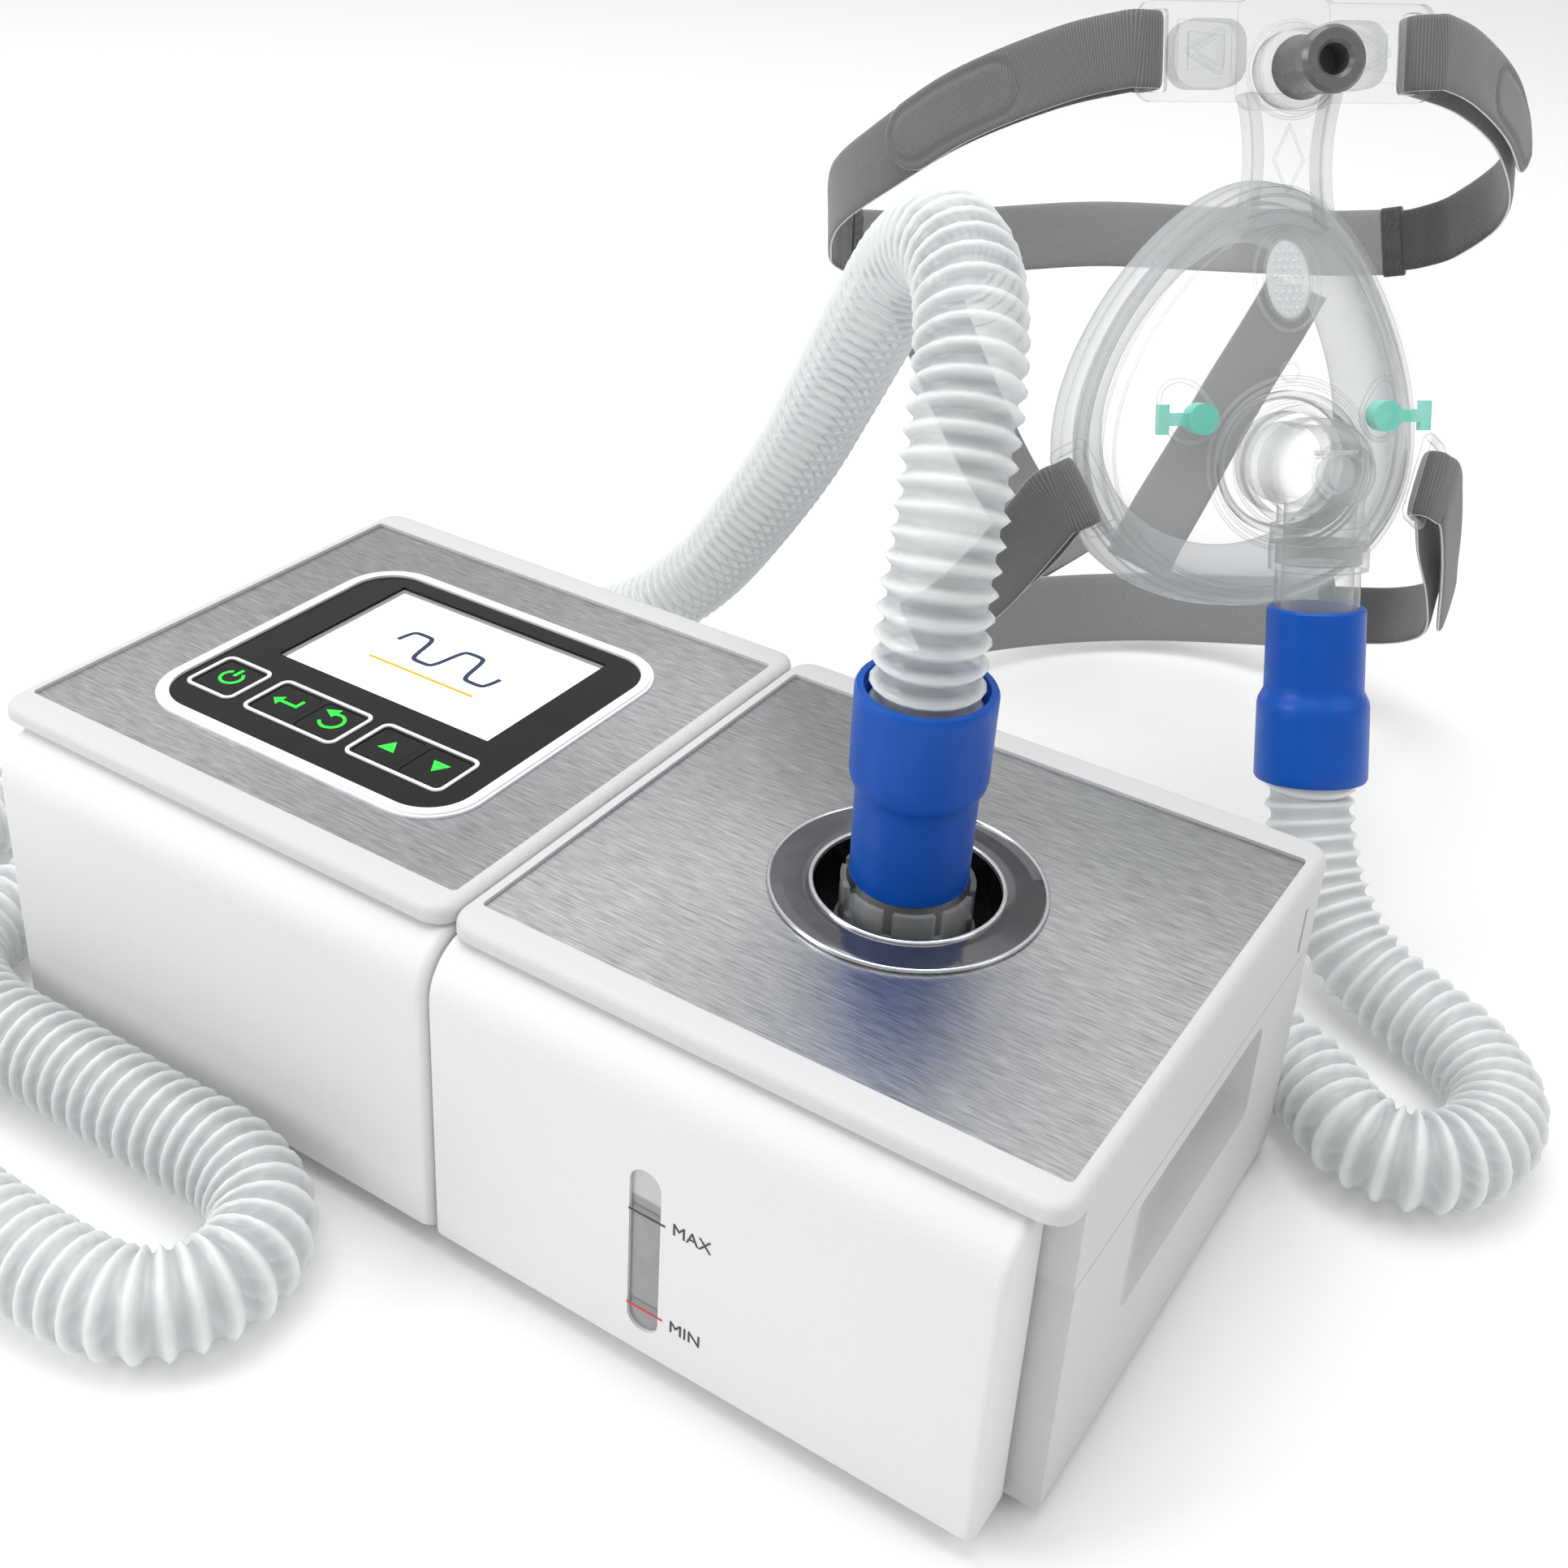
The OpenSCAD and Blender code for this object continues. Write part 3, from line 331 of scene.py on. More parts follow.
# ---------------------------------------------------------------- top plates
# Thin brushed stainless sheets let into the top frames. The brushing runs
# across the machine in short, broken strokes.
brushed = Finish("brushed_steel", Metallic=1.0, Anisotropic=0.45, Specular_IOR_Level=0.5)
stroke = brushed.noise(1.0, 3, (95, 2600, 1), rough=0.65)
dash = brushed.noise(1.0, 2, (210, 1500, 1))
strokes = stroke * 0.65 + dash * 0.35
brushed.feed(Base_Color=brushed.blend((strokes - 0.33) * 2.6, (0.30, 0.305, 0.31, 1),
                                      (0.66, 0.665, 0.675, 1)),
             Roughness=0.27 + 0.16 * stroke)
brushed.bump(strokes, 0.00006, 0.5)
brushed.on(*eased("main_plate", "humidifier_plate"))

# ---------------------------------------------------------------- display
# A pearl ring round a glossy black panel. The lit screen lies a millimetre
# down in it, inside a grey lip, above five keys with moulded outlines.
pearl = Finish("pearl_ring", Roughness=0.3, Coat_Weight=0.5, Coat_Roughness=0.12)
flake = pearl.noise(5200, 1)
pearl.feed(Base_Color=pearl.blend(flake, (0.78, 0.79, 0.81, 1), (0.90, 0.91, 0.92, 1)), Roughness=0.24 + 0.14
           * flake)
pearl.on(*eased("bezel_ring"))
outline_white = Finish("outline_white", Roughness=0.45)
print_grain = outline_white.noise(2600, 2)
outline_white.feed(Base_Color=outline_white.blend(print_grain, (0.76, 0.77, 0.78, 1), (0.86, 0.87, 0.88, 1)))
outline_white.on(*eased("key_frames"))

gloss_black = Finish("gloss_black", Roughness=0.1, Specular_IOR_Level=0.22)
smear = gloss_black.noise(55, 4)
gloss_black.feed(Base_Color=gloss_black.blend(smear, (0.004, 0.004, 0.005, 1), (0.010, 0.010, 0.011, 1)),
                 Roughness=0.07 + 0.10 * smear)
gloss_black.on(*eased("display_panel", "key_power", "key_enter", "key_back", "key_up", "key_down",
                      "port_cup"))

lit_white = Finish("lit_screen", Roughness=0.2, Emission_Strength=0.85)
pixel_glow = lit_white.noise(30, 1)
lit_white.feed(Base_Color=lit_white.blend(pixel_glow, (0.80, 0.82, 0.86, 1), (0.86, 0.88, 0.92, 1)),
               Emission_Color=lit_white.blend(pixel_glow, (0.84, 0.88, 0.96, 1), (0.92, 0.95, 1.0, 1)))
lit_white.on(*eased("lcd_screen"))


def badge(name, outlines, level_z, thick, body, finish):
    """Flat shapes standing proud of a level: each outline, an (n, 2) array in metres, is a prism."""
    points, faces = [], []
    for outline in outlines:
        if np.cross(outline, np.roll(outline, -1, axis=0)).sum() < 0:
            outline = outline[::-1]
        n, first = len(outline), sum(len(p) for p in points)
        for z in (level_z, level_z + thick):
            points.append(np.column_stack([outline, np.full(n, z)]))
        low, high = np.arange(first, first + n), np.arange(first + n, first + 2 * n)
        faces += [low[::-1].tolist(), high.tolist()]
        faces += np.column_stack([low, np.roll(low, -1), np.roll(high, -1), high]).tolist()
    mesh = bpy.data.meshes.new(name)
    mesh.from_pydata(np.vstack(points).tolist(), [], faces)
    mesh.update()
    piece = bpy.data.objects.new(name, mesh)
    bpy.context.scene.collection.objects.link(piece)
    finish.on(piece)
    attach(piece, body)
    return piece


def arc_band(centre, radius, width, start, stop):
    """Outline of a curved stroke: out along the outer arc and back along the inner one, angles in degrees."""
    angle = np.radians(np.linspace(start, stop, 40))
    ray = np.column_stack([np.cos(angle), np.sin(angle)])
    return np.vstack([centre + (radius + width / 2) * ray, centre + (radius - width / 2) * ray[::-1]])


def stroke_between(a, b, width):
    """Outline of a straight stroke between two points."""
    a, b = np.array(a, float), np.array(b, float)
    side = np.array([a[1] - b[1], b[0] - a[0]]) / np.linalg.norm(b - a) * width / 2
    return np.array([a - side, b - side, b + side, a + side])


lit_green = Finish("lit_green", Roughness=0.4, Emission_Strength=1.6)
lamp_shade = lit_green.noise(420, 1)
lit_green.feed(Base_Color=lit_green.blend(lamp_shade, (0.0, 0.45, 0.02, 1), (0.01, 0.62, 0.04, 1)),
               Emission_Color=lit_green.blend(lamp_shade, (0.0, 0.62, 0.01, 1), (0.03, 0.95, 0.04, 1)))
sign_y = -0.0228
sign_thick = 0.00012
key_signs = {
    "power": lambda c: [arc_band(c, 0.0028, 0.00075, 125, 415),
                        stroke_between(c + (0, 0.0008), c + (0, 0.0040), 0.0008)],
    "enter": lambda c: [stroke_between(c + (-0.0022, -0.0006), c + (0.0036, -0.0006), 0.0008),
                        stroke_between(c + (0.0032, -0.0006), c + (0.0032, 0.0022), 0.0008),
                        c + np.array([(-0.0042, -0.0006), (-0.0018, -0.0025), (-0.0018, 0.0013)])],
    "back": lambda c: [arc_band(c, 0.0030, 0.0008, -150, 120),
                       c + np.array([(-0.0046, 0.0030), (-0.0012, 0.0048), (-0.0014, 0.0012)])],
    "up": lambda c: [c + np.array([(-0.0024, -0.0017), (0.0024, -0.0017), (0, 0.0022)])],
    "down": lambda c: [c + np.array([(-0.0024, 0.0017), (0, -0.0022), (0.0024, 0.0017)])],
}
for sign, outlines_at in key_signs.items():
    low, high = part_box("key_" + sign)
    middle = np.array([(low.x + high.x) / 2, sign_y])
    badge("sign_" + sign, outlines_at(middle), high.z - 0.00002, sign_thick, sign + "_key", lit_green)

screen_low, screen_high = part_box("lcd_screen")
lip_grey = Finish("lip_grey", Roughness=0.4)
lip_grain = lip_grey.noise(1500, 2)
lip_grey.feed(Base_Color=lip_grey.blend(lip_grain, (0.20, 0.205, 0.21, 1), (0.28, 0.285, 0.29, 1)))
lip_w = 0.0011
x0, x1, y0, y1 = screen_low.x, screen_high.x, screen_low.y, screen_high.y
badge("screen_lip", [
    np.array([(x0, y1 - lip_w), (x1, y1 - lip_w), (x1, y1), (x0, y1)]),
    np.array([(x0, y0), (x0 + lip_w, y0), (x0 + lip_w, y1 - lip_w), (x0, y1 - lip_w)])],
    screen_high.z - 0.00002, 0.0004, "unit", lip_grey)

# The picture on the screen: a breathing curve over its base line.
ink_navy = Finish("ink_navy", Roughness=0.3, Emission_Strength=0.25)
ink_tone = ink_navy.noise(300, 1)
ink_navy.feed(Base_Color=ink_navy.blend(ink_tone, (0.008, 0.014, 0.05, 1), (0.015, 0.022, 0.07, 1)),
              Emission_Color=ink_navy.blend(ink_tone, (0.01, 0.016, 0.055, 1), (0.014, 0.02, 0.07, 1)))
ink_amber = Finish("ink_amber", Roughness=0.3, Emission_Strength=0.55)
amber_tone = ink_amber.noise(300, 1)
ink_amber.feed(Base_Color=ink_amber.blend(amber_tone, (0.75, 0.26, 0.01, 1), (0.85, 0.32, 0.02, 1)),
               Emission_Color=ink_amber.blend(amber_tone, (0.90, 0.32, 0.01, 1), (1.0, 0.40, 0.02, 1)))
mid_x, mid_y = (x0 + x1) / 2, (y0 + y1) / 2


def breath_outline(width, height, thick):
    """Band round two breaths: a squashed sine, and the same line raised by thick."""
    x = np.linspace(-width / 2, width / 2, 90)
    y = height / 2 * np.tanh(3 * np.sin(4 * math.pi * x / width)) / math.tanh(3)
    slope = np.gradient(y, x)
    lift = thick / 2 * np.column_stack([-slope, np.ones_like(x)]) / np.sqrt(1 + slope ** 2)[:, None]
    line = np.column_stack([x, y])
    return np.vstack([line - lift, (line + lift)[::-1]])


badge("screen_curve", [breath_outline(0.034, 0.011, 0.0013) + (mid_x, mid_y + 0.002)],
      screen_high.z - 0.00002, 0.00012, "unit", ink_navy)
badge("screen_base_line", [stroke_between((mid_x - 0.017, mid_y - 0.0085), (mid_x + 0.017, mid_y - 0.0085),
                                          0.0009)],
      screen_high.z - 0.00002, 0.00012, "unit", ink_amber)

# ---------------------------------------------------------------- level window
# A long clear window in the drawer's front shows the water. A black line
# marks the fullest level and a red one the lowest, each with its word.
window_glass = Finish("window_glass", Roughness=0.08, IOR=1.45, Coat_Weight=0.6, Coat_Roughness=0.04)
height_up = window_glass.node("SeparateXYZ", None, {0: window_glass.place()}, out=2)
air_above = window_glass.node("MapRange", {"interpolation_type": "SMOOTHSTEP"},
                              {0: height_up, 1: 0.0465, 2: 0.0475, 3: 0.0, 4: 1.0})
settled = window_glass.noise(160, 2)
wet = window_glass.blend(settled, (0.20, 0.205, 0.21, 1), (0.29, 0.295, 0.30, 1))
window_glass.feed(Base_Color=window_glass.blend(air_above, wet, (0.46, 0.47, 0.48, 1)))
window_glass.on(*eased("level_window"))

panel_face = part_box("drawer_front")[0].y
window_low, window_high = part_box("level_window")


def upright_badge(name, outlines, finish, thick=0.0001, sink=0.00002):
    """Flat shapes on the drawer's front: outlines in X and Z, standing proud of the panel."""
    piece = badge(name, outlines, 0.0, thick, "drawer", finish)
    co = np.empty(len(piece.data.vertices) * 3)
    piece.data.vertices.foreach_get("co", co)
    co = co.reshape(-1, 3)
    turned = np.column_stack([co[:, 0], panel_face + sink - co[:, 2], co[:, 1]])
    piece.data.vertices.foreach_set("co", turned.ravel())
    piece.data.update()
    return piece


print_black = Finish("print_black", Roughness=0.45)
black_tone = print_black.noise(2400, 2)
print_black.feed(Base_Color=print_black.blend(black_tone, (0.02, 0.02, 0.022, 1), (0.045, 0.045, 0.05, 1)))
print_red = Finish("print_red", Roughness=0.45)
red_tone = print_red.noise(2400, 2)
print_red.feed(Base_Color=print_red.blend(red_tone, (0.50, 0.02, 0.015, 1), (0.62, 0.035, 0.025, 1)))
full_z, low_z = 0.0435, 0.0180
upright_badge("full_line", [stroke_between((window_low.x - 0.0002, full_z), (window_high.x + 0.0012, full_z),
                                           0.0005)],
              print_black)
upright_badge("lowest_line", [stroke_between((window_low.x - 0.0002, low_z), (window_high.x + 0.0012, low_z),
                                             0.0005)],
              print_red)


def level_word(word, left_x, middle_z, letter_height):
    """A printed word as a thin mesh on the drawer's front, turned up from the XY plane."""
    curve = bpy.data.curves.new("word_" + word, "FONT")
    curve.body = word
    curve.size = letter_height / 0.72
    curve.align_y = "CENTER"
    curve.extrude = 0.00006
    drawn = bpy.data.objects.new("drawn_" + word, curve)
    bpy.context.scene.collection.objects.link(drawn)
    bpy.context.view_layer.update()
    mesh = bpy.data.meshes.new_from_object(drawn.evaluated_get(bpy.context.evaluated_depsgraph_get()))
    bpy.data.objects.remove(drawn)
    mesh.transform(Matrix.Translation((left_x, panel_face - 0.00005, middle_z)) @ Matrix.Rotation(math.pi
                                                                                                  / 2, 4,
                                                                                                  "X"))
    piece = bpy.data.objects.new("word_" + word.lower(), mesh)
    bpy.context.scene.collection.objects.link(piece)
    print_black.on(piece)
    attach(piece, "drawer")


level_word("MAX", window_high.x + 0.0028, full_z + 0.0004, 0.0031)
level_word("MIN", window_high.x + 0.0028, low_z - 0.0004, 0.0031)

# ---------------------------------------------------------------- outlet
# A smoked-chrome ring round a black cup. The clear outlet pipe stands in the
# cup, with a notched collar round its foot, and takes the hose's cuff.
smoked = Finish("smoked_ring", Metallic=0.75, Coat_Weight=0.8, Coat_Roughness=0.04)
ring_haze = smoked.noise(120, 3)
smoked.feed(Base_Color=smoked.blend(ring_haze, (0.10, 0.10, 0.11, 1), (0.17, 0.17, 0.18, 1)), Roughness=0.10
            + 0.1 * ring_haze)
smoked.on(*eased("port_ring"))
bright_edge = Finish("bright_edge", Metallic=1.0)
polish = bright_edge.noise(900, 2)
bright_edge.feed(Base_Color=bright_edge.blend(polish, (0.70, 0.70, 0.72, 1), (0.84, 0.84, 0.86, 1)),
                 Roughness=0.08 + 0.12 * polish)


def lathe(name, profile, centre, steps=96):
    """Closed profile of (radius, height) points turned round a vertical axis through the centre."""
    angle = np.linspace(0, 2 * math.pi, steps, endpoint=False)
    profile = np.array(profile, float)
    radius, height = profile[:, 0][:, None], profile[:, 1][:, None]
    grid = np.stack([radius * np.cos(angle), radius * np.sin(angle), height + 0 * angle],
                    axis=-1) + np.array(centre)
    return faced_out(skin(name, grid, loop=True))


def bead(radius, height, thick, steps=10):
    """Round profile of a bead, centred at a radius and a height."""
    angle = np.linspace(0, 2 * math.pi, steps, endpoint=False)
    return np.column_stack([radius + thick * np.cos(angle), height + thick * np.sin(angle)])


port_low, port_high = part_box("port_ring")
port_middle = ((port_low.x + port_high.x) / 2, (port_low.y + port_high.y) / 2, 0)
ring_outer = (port_high.x - port_low.x) / 2
for edge_name, edge_radius, edge_height, edge_thick in (("ring_edge_outer", ring_outer - 0.0004, port_high.z
                                                         - 0.0001, 0.0005),
                                                        ("ring_edge_inner", 0.0206, port_high.z - 0.0002,
                                                         0.0006)):
    edge = lathe(edge_name, bead(edge_radius, edge_height, edge_thick), port_middle)
    bright_edge.on(edge)
    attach(edge, "unit")

clear_hard = Finish("clear_plastic", IOR=1.3, Specular_IOR_Level=0.6, Coat_Roughness=0.03)
clear_edge = clear_hard.facing(0.38)
flow_mark = clear_hard.noise(70, 2)
# The colour turns dark grey towards edges seen at a slant: painted shade standing in for the dark outlines
# that refraction draws on clear plastic.
clear_hard.feed(
    Base_Color=clear_hard.blend(clear_edge, (0.86, 0.88, 0.88, 1), (0.16, 0.17, 0.18, 1)),
    Coat_Weight=0.7 - 0.7 * clear_edge,
    Alpha=0.07 + 0.80 * clear_edge ** 1.7 + 0.05 * flow_mark,
    Roughness=0.05 + 0.07 * flow_mark)
clear_hard.bump(flow_mark, 0.0006, 0.25)
clear_hard.on(*eased("outlet_spigot", "swivel_connector", "elbow", "forehead_bar", "water_tank", "tank_lid"))

# ---------------------------------------------------------------- mask frame
# The clear polycarbonate frame: a thin dome from a broad rim to the elbow's
# socket, with an arm up to the forehead bar. It is one injection moulding.
mask_at = np.array([82.0, 185.0, 124.0])
lean, turn_out = math.radians(19), math.radians(42)
mask_x = np.array([math.cos(turn_out), math.sin(turn_out), 0.0])
mask_y = np.array([-math.sin(turn_out) * math.cos(lean), math.cos(turn_out) * math.cos(lean),
                   -math.sin(lean)])
mask_z = np.array([-math.sin(turn_out) * math.sin(lean), math.cos(turn_out) * math.sin(lean), math.cos(lean)])
mask_axes = np.array([mask_x, mask_y, mask_z])


def on_mask(points):
    """Points in the mask's own frame, in millimetres, as points in the model's frame, in metres."""
    return (mask_at + np.asarray(points, float) @ mask_axes) * MM


def rim(angle, grow, dy):
    """Outline of the mask's rim, narrow at the nose and wide at the cheeks, grown and moved back."""
    x = (46 + grow) * np.sin(angle) * (1 - 0.26 * np.cos(angle))
    y = 19 - 5 * np.cos(angle) + 8 * np.sin(angle) ** 2 + dy
    return np.stack(np.broadcast_arrays(x, y, 16 + (55 + grow) * np.cos(angle)), axis=-1)


def dome(angle, t, back):
    """Dome from the rim, t = 0, to the elbow's socket, t = 1; back is the depth below its outer face."""
    pull, swell = t ** 1.15, np.sin(math.pi / 2 * t ** 0.8)
    edge = rim(angle, -back, 0)
    mouth = np.stack(np.broadcast_arrays((19 - back) * np.sin(angle), 0 * angle, (19 - back)
                                         * np.cos(angle)), axis=-1)
    x = (1 - pull) * edge[..., 0] + pull * mouth[..., 0]
    y = (1 - swell) * edge[..., 1] + swell * 1.5 + back
    z = (1 - pull) * edge[..., 2] + pull * mouth[..., 2]
    return np.stack([x, y, z], axis=-1)


around = np.linspace(0, 2 * math.pi, 160, endpoint=False)
dome_t = np.linspace(0.04, 1, 26)[:, None]
inner_wall, outer_wall = dome(around[None], dome_t, 2.0), dome(around[None], dome_t[::-1], 0.0)
rim_lips = np.stack([rim(around, grow, dy) for grow,
                     dy in ((1.6, -0.3), (2.8, 0.2), (3.3, 1.2), (2.8, 2.2), (1.2, 2.6), (-2.2, 2.4))])
shell = faced_out(skin("mask_shell", on_mask(np.vstack([inner_wall, outer_wall, rim_lips])), loop=True))
clear_hard.on(shell)
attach(shell, "unit")
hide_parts("mask_frame")

dome_map = dome(np.linspace(0, 2 * math.pi, 720, endpoint=False)[None], np.linspace(0.02, 1, 240)[:, None],
                0.0).reshape(-1, 3)


def dome_face(x, z, lift=0.0):
    """Points on the dome's outer face at x and z, at the mean depth of four mapped points."""
    x, z = np.broadcast_arrays(np.asarray(x, float), np.asarray(z, float))
    gap = (dome_map[None, :, 0] - x.ravel()[:, None]) ** 2 + (dome_map[None, :, 2] - z.ravel()[:, None]) ** 2
    near = np.argpartition(gap, 4, axis=1)[:, :4]
    y = dome_map[near, 1].mean(axis=1).reshape(x.shape)
    return np.stack([x, y - lift, z], axis=-1)


def closed_tube(name, line, radius, sides=8):
    """Tube round a closed line of points, in metres: a ring of points square to the line at each."""
    tangent = np.roll(line, -1, axis=0) - np.roll(line, 1, axis=0)
    tangent /= np.linalg.norm(tangent, axis=1, keepdims=True)
    out = line - line.mean(axis=0)
    out -= (out * tangent).sum(axis=1, keepdims=True) * tangent
    out /= np.linalg.norm(out, axis=1, keepdims=True)
    up = np.cross(tangent, out)
    angle = np.linspace(0, 2 * math.pi, sides, endpoint=False)[None, :, None]
    grid = line[:, None] + radius * (np.cos(angle) * out[:, None] + np.sin(angle) * up[:, None])
    return faced_out(skin(name, grid, loop=True))


def clear_part(piece, body="unit", finish=clear_hard):
    """Gives a piece of the mask its finish and body."""
    finish.on(piece)
    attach(piece, body)
    return piece


# Contour lines of the frame's thick rim and of the step where the dome begins.
for k, line in enumerate((rim(around, 3.3, 0.4), rim(around, 0.8, -0.9), dome(around, 0.10, -0.1),
                          dome(around, 0.19, -0.1))):
    clear_part(closed_tube(f"frame_contour_{k}", on_mask(line), 0.45 * MM, 6))

# Ribs moulded on the dome: the vent's two ovals, a round gate mark, and a
# drop-shaped guard round each pressure port.
oval = np.linspace(0, 2 * math.pi, 64, endpoint=False)
for rib, mid, half_w, half_h, thick in (("vent_rim_outer", (0, 49), 9.2, 13.6, 0.55),
                                        ("vent_rim_inner", (0, 49), 6.6, 11.0, 0.5),
                                        ("gate_mark", (0, 24.5), 2.6, 2.6, 0.4)):
    clear_part(closed_tube(rib, on_mask(dome_face(mid[0] + half_w * np.sin(oval), mid[1] + half_h
                                                  * np.cos(oval), 0.1)), thick * MM))
for side_name, s in (("left", -1), ("right", 1)):
    drop = 1 + 0.55 * np.maximum(np.cos(oval - math.radians(28)), 0) ** 3
    guard = dome_face(s * (27 + 6.2 * drop * np.sin(oval)), 12.5 + 6.8 * drop * np.cos(oval), 0.6)
    clear_part(closed_tube("port_guard_" + side_name, on_mask(guard), 0.7 * MM))

frosted = Finish("frosted_vent", IOR=1.45, Specular_IOR_Level=0.5)
frost = frosted.noise(1600, 3)
frosted.feed(Base_Color=frosted.blend(frost, (0.74, 0.76, 0.77, 1), (0.90, 0.92, 0.93, 1)), Alpha=0.42 + 0.25
             * frost,
             Roughness=0.35 + 0.3 * frost)
frosted.bump(frost, 0.0002, 0.5)
reach = np.linspace(0.03, 1, 9)[:, None]
vent_top = dome_face(6.2 * reach * np.sin(oval)[None], 49 + 10.6 * reach * np.cos(oval)[None], 0.30)
vent_back = vent_top[::-1] + np.array([0, 0.25, 0])
clear_part(faced_out(skin("vent_patch", on_mask(np.vstack([vent_top, vent_back])), caps=True)),
           finish=frosted)


def dots(name, centres, radius, lift):
    """Low round studs, a ring of eight points under a top point each, on the dome at the given centres."""
    ring = np.linspace(0, 2 * math.pi, 8, endpoint=False)
    points, faces = [], []
    for k, (x, z) in enumerate(centres):
        base = dome_face(x + radius * np.sin(ring), z + radius * np.cos(ring), lift)
        top = dome_face([x], [z], lift + radius * 0.8)
        low = dome_face([x], [z], lift - 0.2)
        points += [base, top, low]
        first = 10 * k
        ring_index = first + np.arange(8)
        faces += np.column_stack([ring_index, np.roll(ring_index, -1), np.full(8, first + 8)]).tolist()
        faces += np.column_stack([np.roll(ring_index, -1), ring_index, np.full(8, first + 9)]).tolist()
    mesh = bpy.data.meshes.new(name)
    mesh.from_pydata(on_mask(np.vstack(points)).tolist(), [], faces)
    mesh.update()
    piece = bpy.data.objects.new(name, mesh)
    bpy.context.scene.collection.objects.link(piece)
    return faced_out(piece)


vent_holes = [(x, z) for row, z in enumerate(np.arange(41.5, 57.6, 2.1)) for x in np.arange(-4, 4.1, 2.0)
              + (row % 2)
              if (x / 5.0) ** 2 + ((z - 49) / 9.2) ** 2 < 1]
clear_part(dots("vent_studs", vent_holes, 0.5, 0.5), finish=frosted)


def mask_lathe(name, profile, middle, steps=80):
    """Closed profile of (radius, depth) turned round an axis square to the mask, in millimetres."""
    angle = np.linspace(0, 2 * math.pi, steps, endpoint=False)
    profile = np.array(profile, float)
    radius, depth = profile[:, 0][:, None], profile[:, 1][:, None]
    grid = np.stack([radius * np.sin(angle), depth + 0 * angle, radius * np.cos(angle)],
                    axis=-1) + np.array(middle)
    return faced_out(skin(name, on_mask(grid), loop=True))


clear_part(mask_lathe("socket_collar", [(14.2, -3.4), (19.2, -3.6), (19.6, -3.2), (19.6, 2.6), (19.0, 3.2),
                                        (14.2, 3.2)], (0, 0, 0)))
for k, (radius, depth) in enumerate(((21.4, -1.2), (23.2, -0.6), (17.0, -3.7))):
    clear_part(mask_lathe(f"socket_bead_{k}", bead(radius, depth, 0.55), (0, 0, 0)))

# ---------------------------------------------------------------- mask arm
# The arm is part of the frame's moulding: a thin web with a diamond pressed
# in it between two rails, and a boss at the top that the knob turns in.
def slab(name, outline, near, far, bevel, frame_of=on_mask):
    """Flat bar: an outline in x and z, in millimetres, between two depths, with its edges bevelled."""
    outline = np.array(outline, float)
    n = len(outline)
    points = np.vstack([np.column_stack([outline[:, 0], np.full(n, y), outline[:, 1]]) for y in (near, far)])
    low, high = np.arange(n), np.arange(n, 2 * n)
    faces = [low.tolist(), high[::-1].tolist()] + np.column_stack([low, high, np.roll(high, -1),
                                                                   np.roll(low, -1)]).tolist()
    mesh = bpy.data.meshes.new(name)
    mesh.from_pydata(frame_of(points).tolist(), [], faces)
    mesh.update()
    piece = bpy.data.objects.new(name, mesh)
    bpy.context.scene.collection.objects.link(piece)
    faced_out(piece)
    round_off = piece.modifiers.new("round_off", "BEVEL")
    round_off.width = bevel * MM
    round_off.segments = 3
    return piece


arm_wave = np.linspace(0, 1, 14)
arm_half = 9.6 + 2.4 * (2 * arm_wave - 1) ** 2
arm_up = 62 + 36 * arm_wave
web_outline = np.vstack([np.column_stack([arm_half, arm_up]), np.column_stack([-arm_half, arm_up])[::-1]])
clear_part(slab("arm_web", web_outline, 7.2, 9.2, 0.4))
for side_name, s in (("left", -1), ("right", 1)):
    rail = np.vstack([np.column_stack([s * (arm_half - 1.3), arm_up]),
                      np.column_stack([s * (arm_half + 1.3), arm_up])[::-1]])
    clear_part(slab("arm_rail_" + side_name, rail, 3.4, 12.6, 0.6))
diamond = on_mask([(0, 7.0, 72), (4.2, 7.0, 80.5), (0, 7.0, 90), (-4.2, 7.0, 80.5)])
corners = np.vstack([diamond, diamond[:1]])
clear_part(closed_tube("arm_diamond", np.vstack([np.linspace(corners[k], corners[k + 1], 8,
                                                             endpoint=False) for k in range(4)]), 0.4 * MM,
                                                             6))
clear_part(mask_lathe("knob_boss", [(3.2, 1.2), (10.0, 1.0), (10.4, 1.6), (10.4, 8.4), (9.8, 9.0),
                                    (3.2, 9.0)], (0, 0, 104)))
for k, (radius, depth) in enumerate(((11.4, 3.0), (12.6, 6.4))):
    clear_part(mask_lathe(f"boss_bead_{k}", bead(radius, depth, 0.5), (0, 0, 104)))

# Reliefs on the forehead bar: a triangle with round corners on each wing.
for side_name, s in (("left", -1), ("right", 1)):
    wing = np.array([(s * 18.5, 102.6), (s * 29.5, 109), (s * 18.5, 115.4)])
    route = np.vstack([np.linspace(wing[k], wing[(k + 1) % 3], 12, endpoint=False) for k in range(3)])
    for _ in range(3):
        route = (np.roll(route, 1, axis=0) + 2 * route + np.roll(route, -1, axis=0)) / 4
    for ring_name, size in (("outer", 1.0), ("inner", 0.62)):
        shaped = route.mean(axis=0) + size * (route - route.mean(axis=0))
        line = on_mask(np.column_stack([shaped[:, 0],
                                        np.full(len(shaped), 8.9 if ring_name == "inner" else 9.0),
                                        shaped[:, 1]]))
        clear_part(closed_tube(f"wing_relief_{side_name}_{ring_name}", line, 0.45 * MM, 6), body="forehead")

